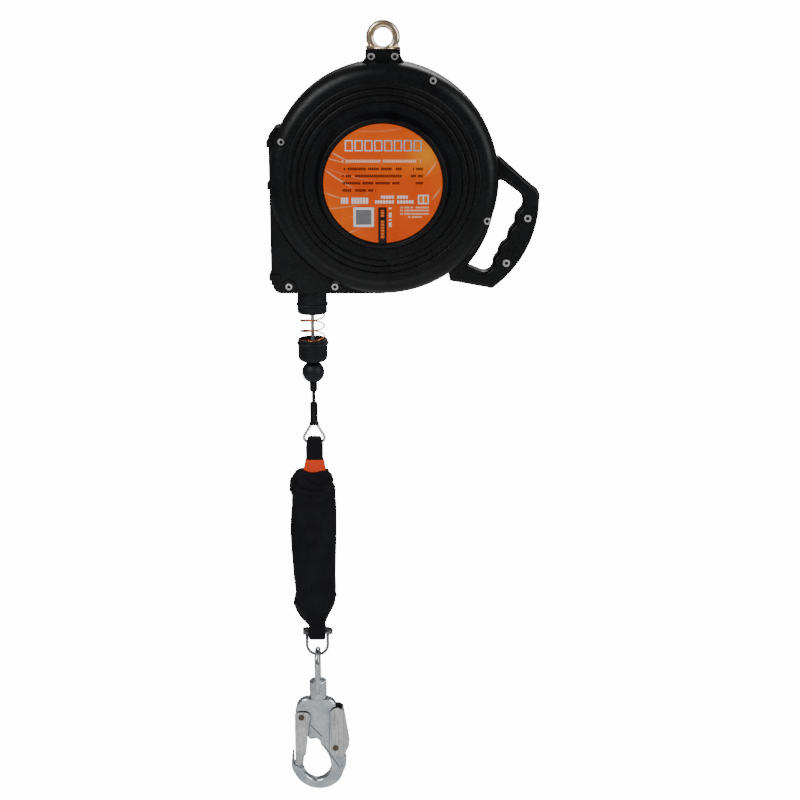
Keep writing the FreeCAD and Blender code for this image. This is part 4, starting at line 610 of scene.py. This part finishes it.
def upper_strap():
    """Strap folded over the bar of the end loop, its two layers sewn together below."""
    wrap = 0.0062
    left = [Vector((CABLE_X, y, z)) for y, z in
            ((-0.0028, STRAP_END - 0.004), (-0.0028, -0.5275), (-0.0036, -0.5205), (-0.0058, -0.5135))]
    right = [Vector((p.x, -p.y, p.z)) for p in reversed(left)]
    top = arc_points(0, LOOP_BAR_Z, wrap, 190, -10, 14)
    line = smooth_line(left + top + right)
    widths = []
    for point in line:
        part = min(max((point.z + 0.5125) / 0.0105, 0.0), 1.0)
        widths.append(0.0109 - 0.0021 * part * part * (3 - 2 * part))
    band = piece("upper_webbing", strap_mesh("upper_webbing", line, widths, 0.0038), black_strap,
                 "absorber")
    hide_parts("upper_strap")
    rows = []
    for z in (-0.5215, -0.5245, -0.5295):
        for side in (-1, 1):
            y = side * (0.0050 if z > -0.523 else 0.0047)
            rows.append([(Vector((CABLE_X + x * MM, y, z)), Vector((0, side, 0))) for x in range(-10, 11)])
    stitches("upper_stitching", rows, "absorber")


def lower_strap():
    """Strap folded round the shackle's pin below the pouch."""
    wrap = 0.0078
    left = [Vector((CABLE_X, y, z)) for y, z in
            ((-0.003, PACK_BOTTOM - 0.002), (-0.003, -0.745), (-0.0038, -0.754), (-0.0062, -0.7615))]
    right = [Vector((p.x, -p.y, p.z)) for p in reversed(left)]
    bottom = arc_points(0, PIN_Z - 0.0022, wrap, 172, 368, 16)
    line = smooth_line(left + bottom + right)
    widths = [0.0112 + 0.0004 * math.sin(p.z * 300) for p in line]
    band = piece("lower_webbing", strap_mesh("lower_webbing", line, widths, 0.004), black_strap,
                 "absorber")
    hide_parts("lower_strap")
    rows = []
    for z in (-0.7535, -0.7565):
        for side in (-1, 1):
            rows.append([(Vector((CABLE_X + x * MM, side * 0.0062, z)), Vector((0, side, 0)))
                         for x in range(-10, 11)])
    stitches("lower_stitching", rows, "absorber")


def tear_pack():
    """Folded orange webbing: its flared top shows above the pouch."""
    rings = []
    stations = [(STRAP_END + 0.003, 0.0114, 0.0052), (-0.5302, 0.0118, 0.0056), (-0.5345, 0.0128, 0.0056),
                (-0.543, 0.0146, 0.0058), (-0.549, 0.0154, 0.0064), (-0.556, 0.0166, 0.007),
                (-0.57, 0.0182, 0.0078)]
    stations += [(-0.57 - 0.0079 * i, 0.0194 + 0.0003 * (i % 2), 0.0082) for i in range(1, 20)]
    across = 40
    for z, half_x, half_y in stations:
        ring = []
        for j in range(across):
            angle = 2 * math.pi * j / across
            c, s = math.cos(angle), math.sin(angle)
            ring.append(Vector((
                CABLE_X + half_x * math.copysign(abs(c) ** 0.35, c),
                half_y * math.copysign(abs(s) ** 0.5, s),
                z - (0.0006 * (1 - (c * c)) if z > -0.535 else 0.0))))
        rings.append(ring)

    def place(i, j):
        point = rings[i][j % across]
        return (point.x - CABLE_X, point.z)

    pack = piece("tear_webbing", grid_mesh("tear_webbing", rings, "strap", place), orange_strap,
                 "absorber")
    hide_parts("tear_pack")


# --- pouch -----------------------------------------------------------------------------
# (z, left edge, right edge, half depth) in millimetres; x from the cable's line.
POUCH_BANDS = [
    (-541.0, -20.5, 18.0, 9.8), (-546.0, -26.5, 20.5, 11.4), (-553.0, -31.5, 24.0, 12.8),
    (-561.0, -34.5, 26.5, 12.6), (-569.0, -35.8, 27.5, 13.2), (-577.0, -33.2, 28.2, 13.4),
    (-585.0, -32.4, 28.8, 13.6), (-600.0, -33.8, 29.3, 13.9), (-624.0, -35.4, 29.6, 14.1),
    (-646.0, -34.8, 29.0, 14.1), (-667.0, -33.6, 28.2, 14.0), (-695.0, -31.8, 27.6, 13.6),
    (-716.0, -30.4, 27.2, 13.0), (-727.0, -32.0, 26.8, 12.6), (-734.0, -31.6, 24.6, 12.2),
    (-742.0, -28.4, 21.0, 11.4), (-750.0, -23.6, 17.2, 10.4), (-757.0, -18.4, 14.0, 9.6),
    (-762.6, -14.6, 12.2, 8.8),
]
# Creases in the cloth: (x, z) from the cable in millimetres through three points, width, depth.
CREASES = [
    ((-27, -551), (-18, -566), (3, -570), 2.6, 1.9), ((-31, -566), (-16, -570), (-2, -586), 3.0, 1.3),
    ((-12, -550), (2, -563), (19, -556), 2.0, 1.4), ((-33, -577), (-22, -588), (-16, -606), 2.8, 0.9),
    ((25, -562), (10, -568), (2, -582), 2.4, 1.4), ((27, -573), (16, -584), (13, -604), 2.4, 0.9),
    ((-32, -728), (-22, -742), (-14, -760), 2.8, 2.0), ((26, -724), (19, -742), (12, -758), 2.8, 2.0),
    ((-26, -722), (-16, -742), (-8, -760), 2.4, 1.0), ((20, -720), (13, -742), (6, -760), 2.4, 1.0),
    ((-6, -640), (-4, -680), (2, -726), 4.0, 0.6), ((10, -630), (12, -670), (8, -716), 3.6, 0.5),
    ((-22, -610), (-24, -650), (-20, -700), 4.0, 0.5),
]


SWELL_LIMIT = 0.005
MOUTH_DIP = 4.5
HEM_WIDTH, HEM_DEPTH = 1.1, 0.7


def bent(a, b, c, count=24):
    """Points on the curve through three points."""
    result = []
    for i in range(count + 1):
        t = i / count
        result.append(tuple((1 - t) * (1 - 2 * t) * p + 4 * t * (1 - t) * q + t * (2 * t - 1) * r
                            for p, q, r in zip(a, b, c)))
    return result


def pouch_form(shrink):
    """Closed crowned form of the pouch before it is filled."""
    rings = []
    across = 56
    for z, left, right, deep in POUCH_BANDS:
        centre, half = (left + right) / 2, (right - left) / 2 - shrink
        ring = []
        for j in range(across):
            angle = 2 * math.pi * j / across
            c, s = math.cos(angle), math.sin(angle)
            ring.append(Vector((
                CABLE_X + (centre + half * math.copysign(abs(c) ** 0.8, c)) * MM,
                (deep - shrink) * math.copysign(abs(s) ** 0.9, s) * MM,
                z * MM)))
        rings.append(ring)
    return grid_mesh("pouch_form", rings)


def apply_modifiers(thing):
    """Replaces an object's mesh by what its modifiers make of it."""
    graph = bpy.context.evaluated_depsgraph_get()
    result = bpy.data.meshes.new_from_object(thing.evaluated_get(graph))
    thing.modifiers.clear()
    thing.data = result


def fill_pouch(thing):
    """Blows the cloth out a little, as a filled pouch stands."""
    settings = thing.modifiers.new("cloth", "CLOTH")
    cloth_settings = settings.settings
    cloth_settings.quality = 6
    cloth_settings.mass = 0.3
    cloth_settings.use_pressure = True
    cloth_settings.uniform_pressure_force = 4.0
    cloth_settings.tension_stiffness = 20
    cloth_settings.compression_stiffness = 20
    cloth_settings.bending_stiffness = 0.6
    cloth_settings.effector_weights.gravity = 0.0
    settings.collision_settings.use_self_collision = False
    pins = thing.vertex_groups.new(name="ends")
    for vertex in thing.data.vertices:
        if vertex.co.z > -0.5445 or vertex.co.z < -0.7585:
            pins.add([vertex.index], 1.0, "ADD")
    cloth_settings.vertex_group_mass = "ends"
    settings.point_cache.frame_start = 1
    settings.point_cache.frame_end = 20
    before = [v.co.copy() for v in thing.data.vertices]
    scene = bpy.context.scene
    for number in range(1, 21):
        scene.frame_set(number)
    apply_modifiers(thing)
    for vertex, start in zip(thing.data.vertices, before):
        move = vertex.co - start
        if move.length > SWELL_LIMIT:
            vertex.co = start + move * (SWELL_LIMIT / move.length)
    scene.frame_set(1)


def bell(distance, width):
    return math.exp(-(distance / width) ** 2)


def crease(thing):
    """Presses the folds and hems into the cloth, mirrored at the back, and dips its mouth."""
    mesh = thing.data
    lines = [(bent(a, b, c), width, depth) for a, b, c, width, depth in CREASES]
    normals = [v.normal.copy() for v in mesh.vertices]
    for vertex, normal in zip(mesh.vertices, normals):
        x = (vertex.co.x - CABLE_X) / MM
        z = vertex.co.z / MM
        side = -1.0 if vertex.co.y > 0 else 1.0
        push = 0.0
        for line, width, depth in lines:
            near = min(math.hypot(side * x - p, z - q) for p, q in line)
            if near < 4 * width:
                push += depth * (bell(near, width) - 0.45 * bell(near - 1.9 * width, width))
        mouth = min(max((z + 556.0) / 10.0, 0.0), 1.0)
        vertex.co.z -= MOUTH_DIP * MM * mouth * bell(x + 2.0, 12.0)
        push += HEM_DEPTH * (bell(z + 547.5, HEM_WIDTH) + bell(z + 759.5, HEM_WIDTH))
        vertex.co -= normal * push * MM


def pouch():
    thing = piece("cloth_pouch", pouch_form(1.2), pouch_cloth, None)
    remesh = thing.modifiers.new("remesh", "REMESH")
    remesh.mode = "VOXEL"
    remesh.voxel_size = 0.004
    remesh.use_smooth_shade = True
    apply_modifiers(thing)
    fill_pouch(thing)
    finer = thing.modifiers.new("finer", "SUBSURF")
    finer.levels = finer.render_levels = 2
    apply_modifiers(thing)
    crease(thing)
    thing.data.materials.clear()
    thing.data.materials.append(pouch_cloth)
    for polygon in thing.data.polygons:
        polygon.use_smooth = True
    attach(thing, "absorber")
    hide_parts("pouch")


cable()
bumper_spring()
upper_strap()
lower_strap()
tear_pack()
pouch()


# --- stage, light and camera --------------------------------------------------------------
BACKDROP = 14.0      # how bright the sweep looks to the camera
ROOM_LIGHT = 0.16    # light from all round on the object


def floor():
    """Plain pale floor under the hanging object."""
    mesh = bpy.data.meshes.new("floor")
    size, z = 40.0, -1.5
    corners = [(-size, -size, z), (size, -size, z), (size, size, z), (-size, size, z)]
    mesh.from_pydata(corners, [], [(0, 1, 2, 3)])
    thing = bpy.data.objects.new("floor", mesh)
    bpy.context.scene.collection.objects.link(thing)
    s = Shader("pale_floor")
    shade = s.span(s.noise(3.0, 3.0), 0.3, 0.7)
    s.set(Base_Color=s.mix(shade, (0.86, 0.86, 0.86), (0.9, 0.9, 0.9)), Roughness=0.9)
    seen = s.add("ShaderNodeLightPath").outputs["Is Camera Ray"]
    s.set(Emission_Color=(1, 1, 1, 1), Emission_Strength=s.math("MULTIPLY", seen, BACKDROP))
    mesh.materials.append(s.material)


def area_light(name, place, target, size, power):
    light = bpy.data.lights.new(name, "AREA")
    light.shape = "RECTANGLE"
    light.size, light.size_y = size
    light.energy = power
    thing = bpy.data.objects.new(name, light)
    thing.location = place
    thing.rotation_euler = (Vector(target) - Vector(place)).to_track_quat("-Z", "Y").to_euler()
    bpy.context.scene.collection.objects.link(thing)


def studio():
    world = bpy.data.worlds.new("studio")
    world.use_nodes = True
    nodes, links = world.node_tree.nodes, world.node_tree.links
    seen = nodes.new("ShaderNodeLightPath").outputs["Is Camera Ray"]
    strength = nodes.new("ShaderNodeMapRange")
    strength.inputs["To Min"].default_value = ROOM_LIGHT
    strength.inputs["To Max"].default_value = BACKDROP
    links.new(seen, strength.inputs["Value"])
    links.new(strength.outputs["Result"], nodes["Background"].inputs["Strength"])
    nodes["Background"].inputs["Color"].default_value = (1.0, 1.0, 1.0, 1)
    bpy.context.scene.world = world
    area_light("key", (-1.5, -1.5, 1.3), (0, 0, -0.4), (1.0, 1.6), 34)
    area_light("fill", (1.9, -1.1, 0.5), (0, 0, -0.5), (0.8, 2.0), 22)
    area_light("low", (-0.3, -2.2, -1.3), (-0.05, 0, -0.7), (1.6, 0.5), 5)
    area_light("back", (0.4, 1.8, 1.2), (0, 0, -0.3), (1.4, 1.4), 22)


def camera():
    lens = bpy.data.cameras.new("camera")
    lens.lens = 72.0
    lens.sensor_width = 36.0
    lens.clip_end = 200.0
    thing = bpy.data.objects.new("camera", lens)
    thing.location = (0.0203, -1.9574, 0.1100)
    thing.rotation_euler = (math.radians(74.0), 0, 0)
    bpy.context.scene.collection.objects.link(thing)
    bpy.context.scene.camera = thing


floor()
studio()
camera()
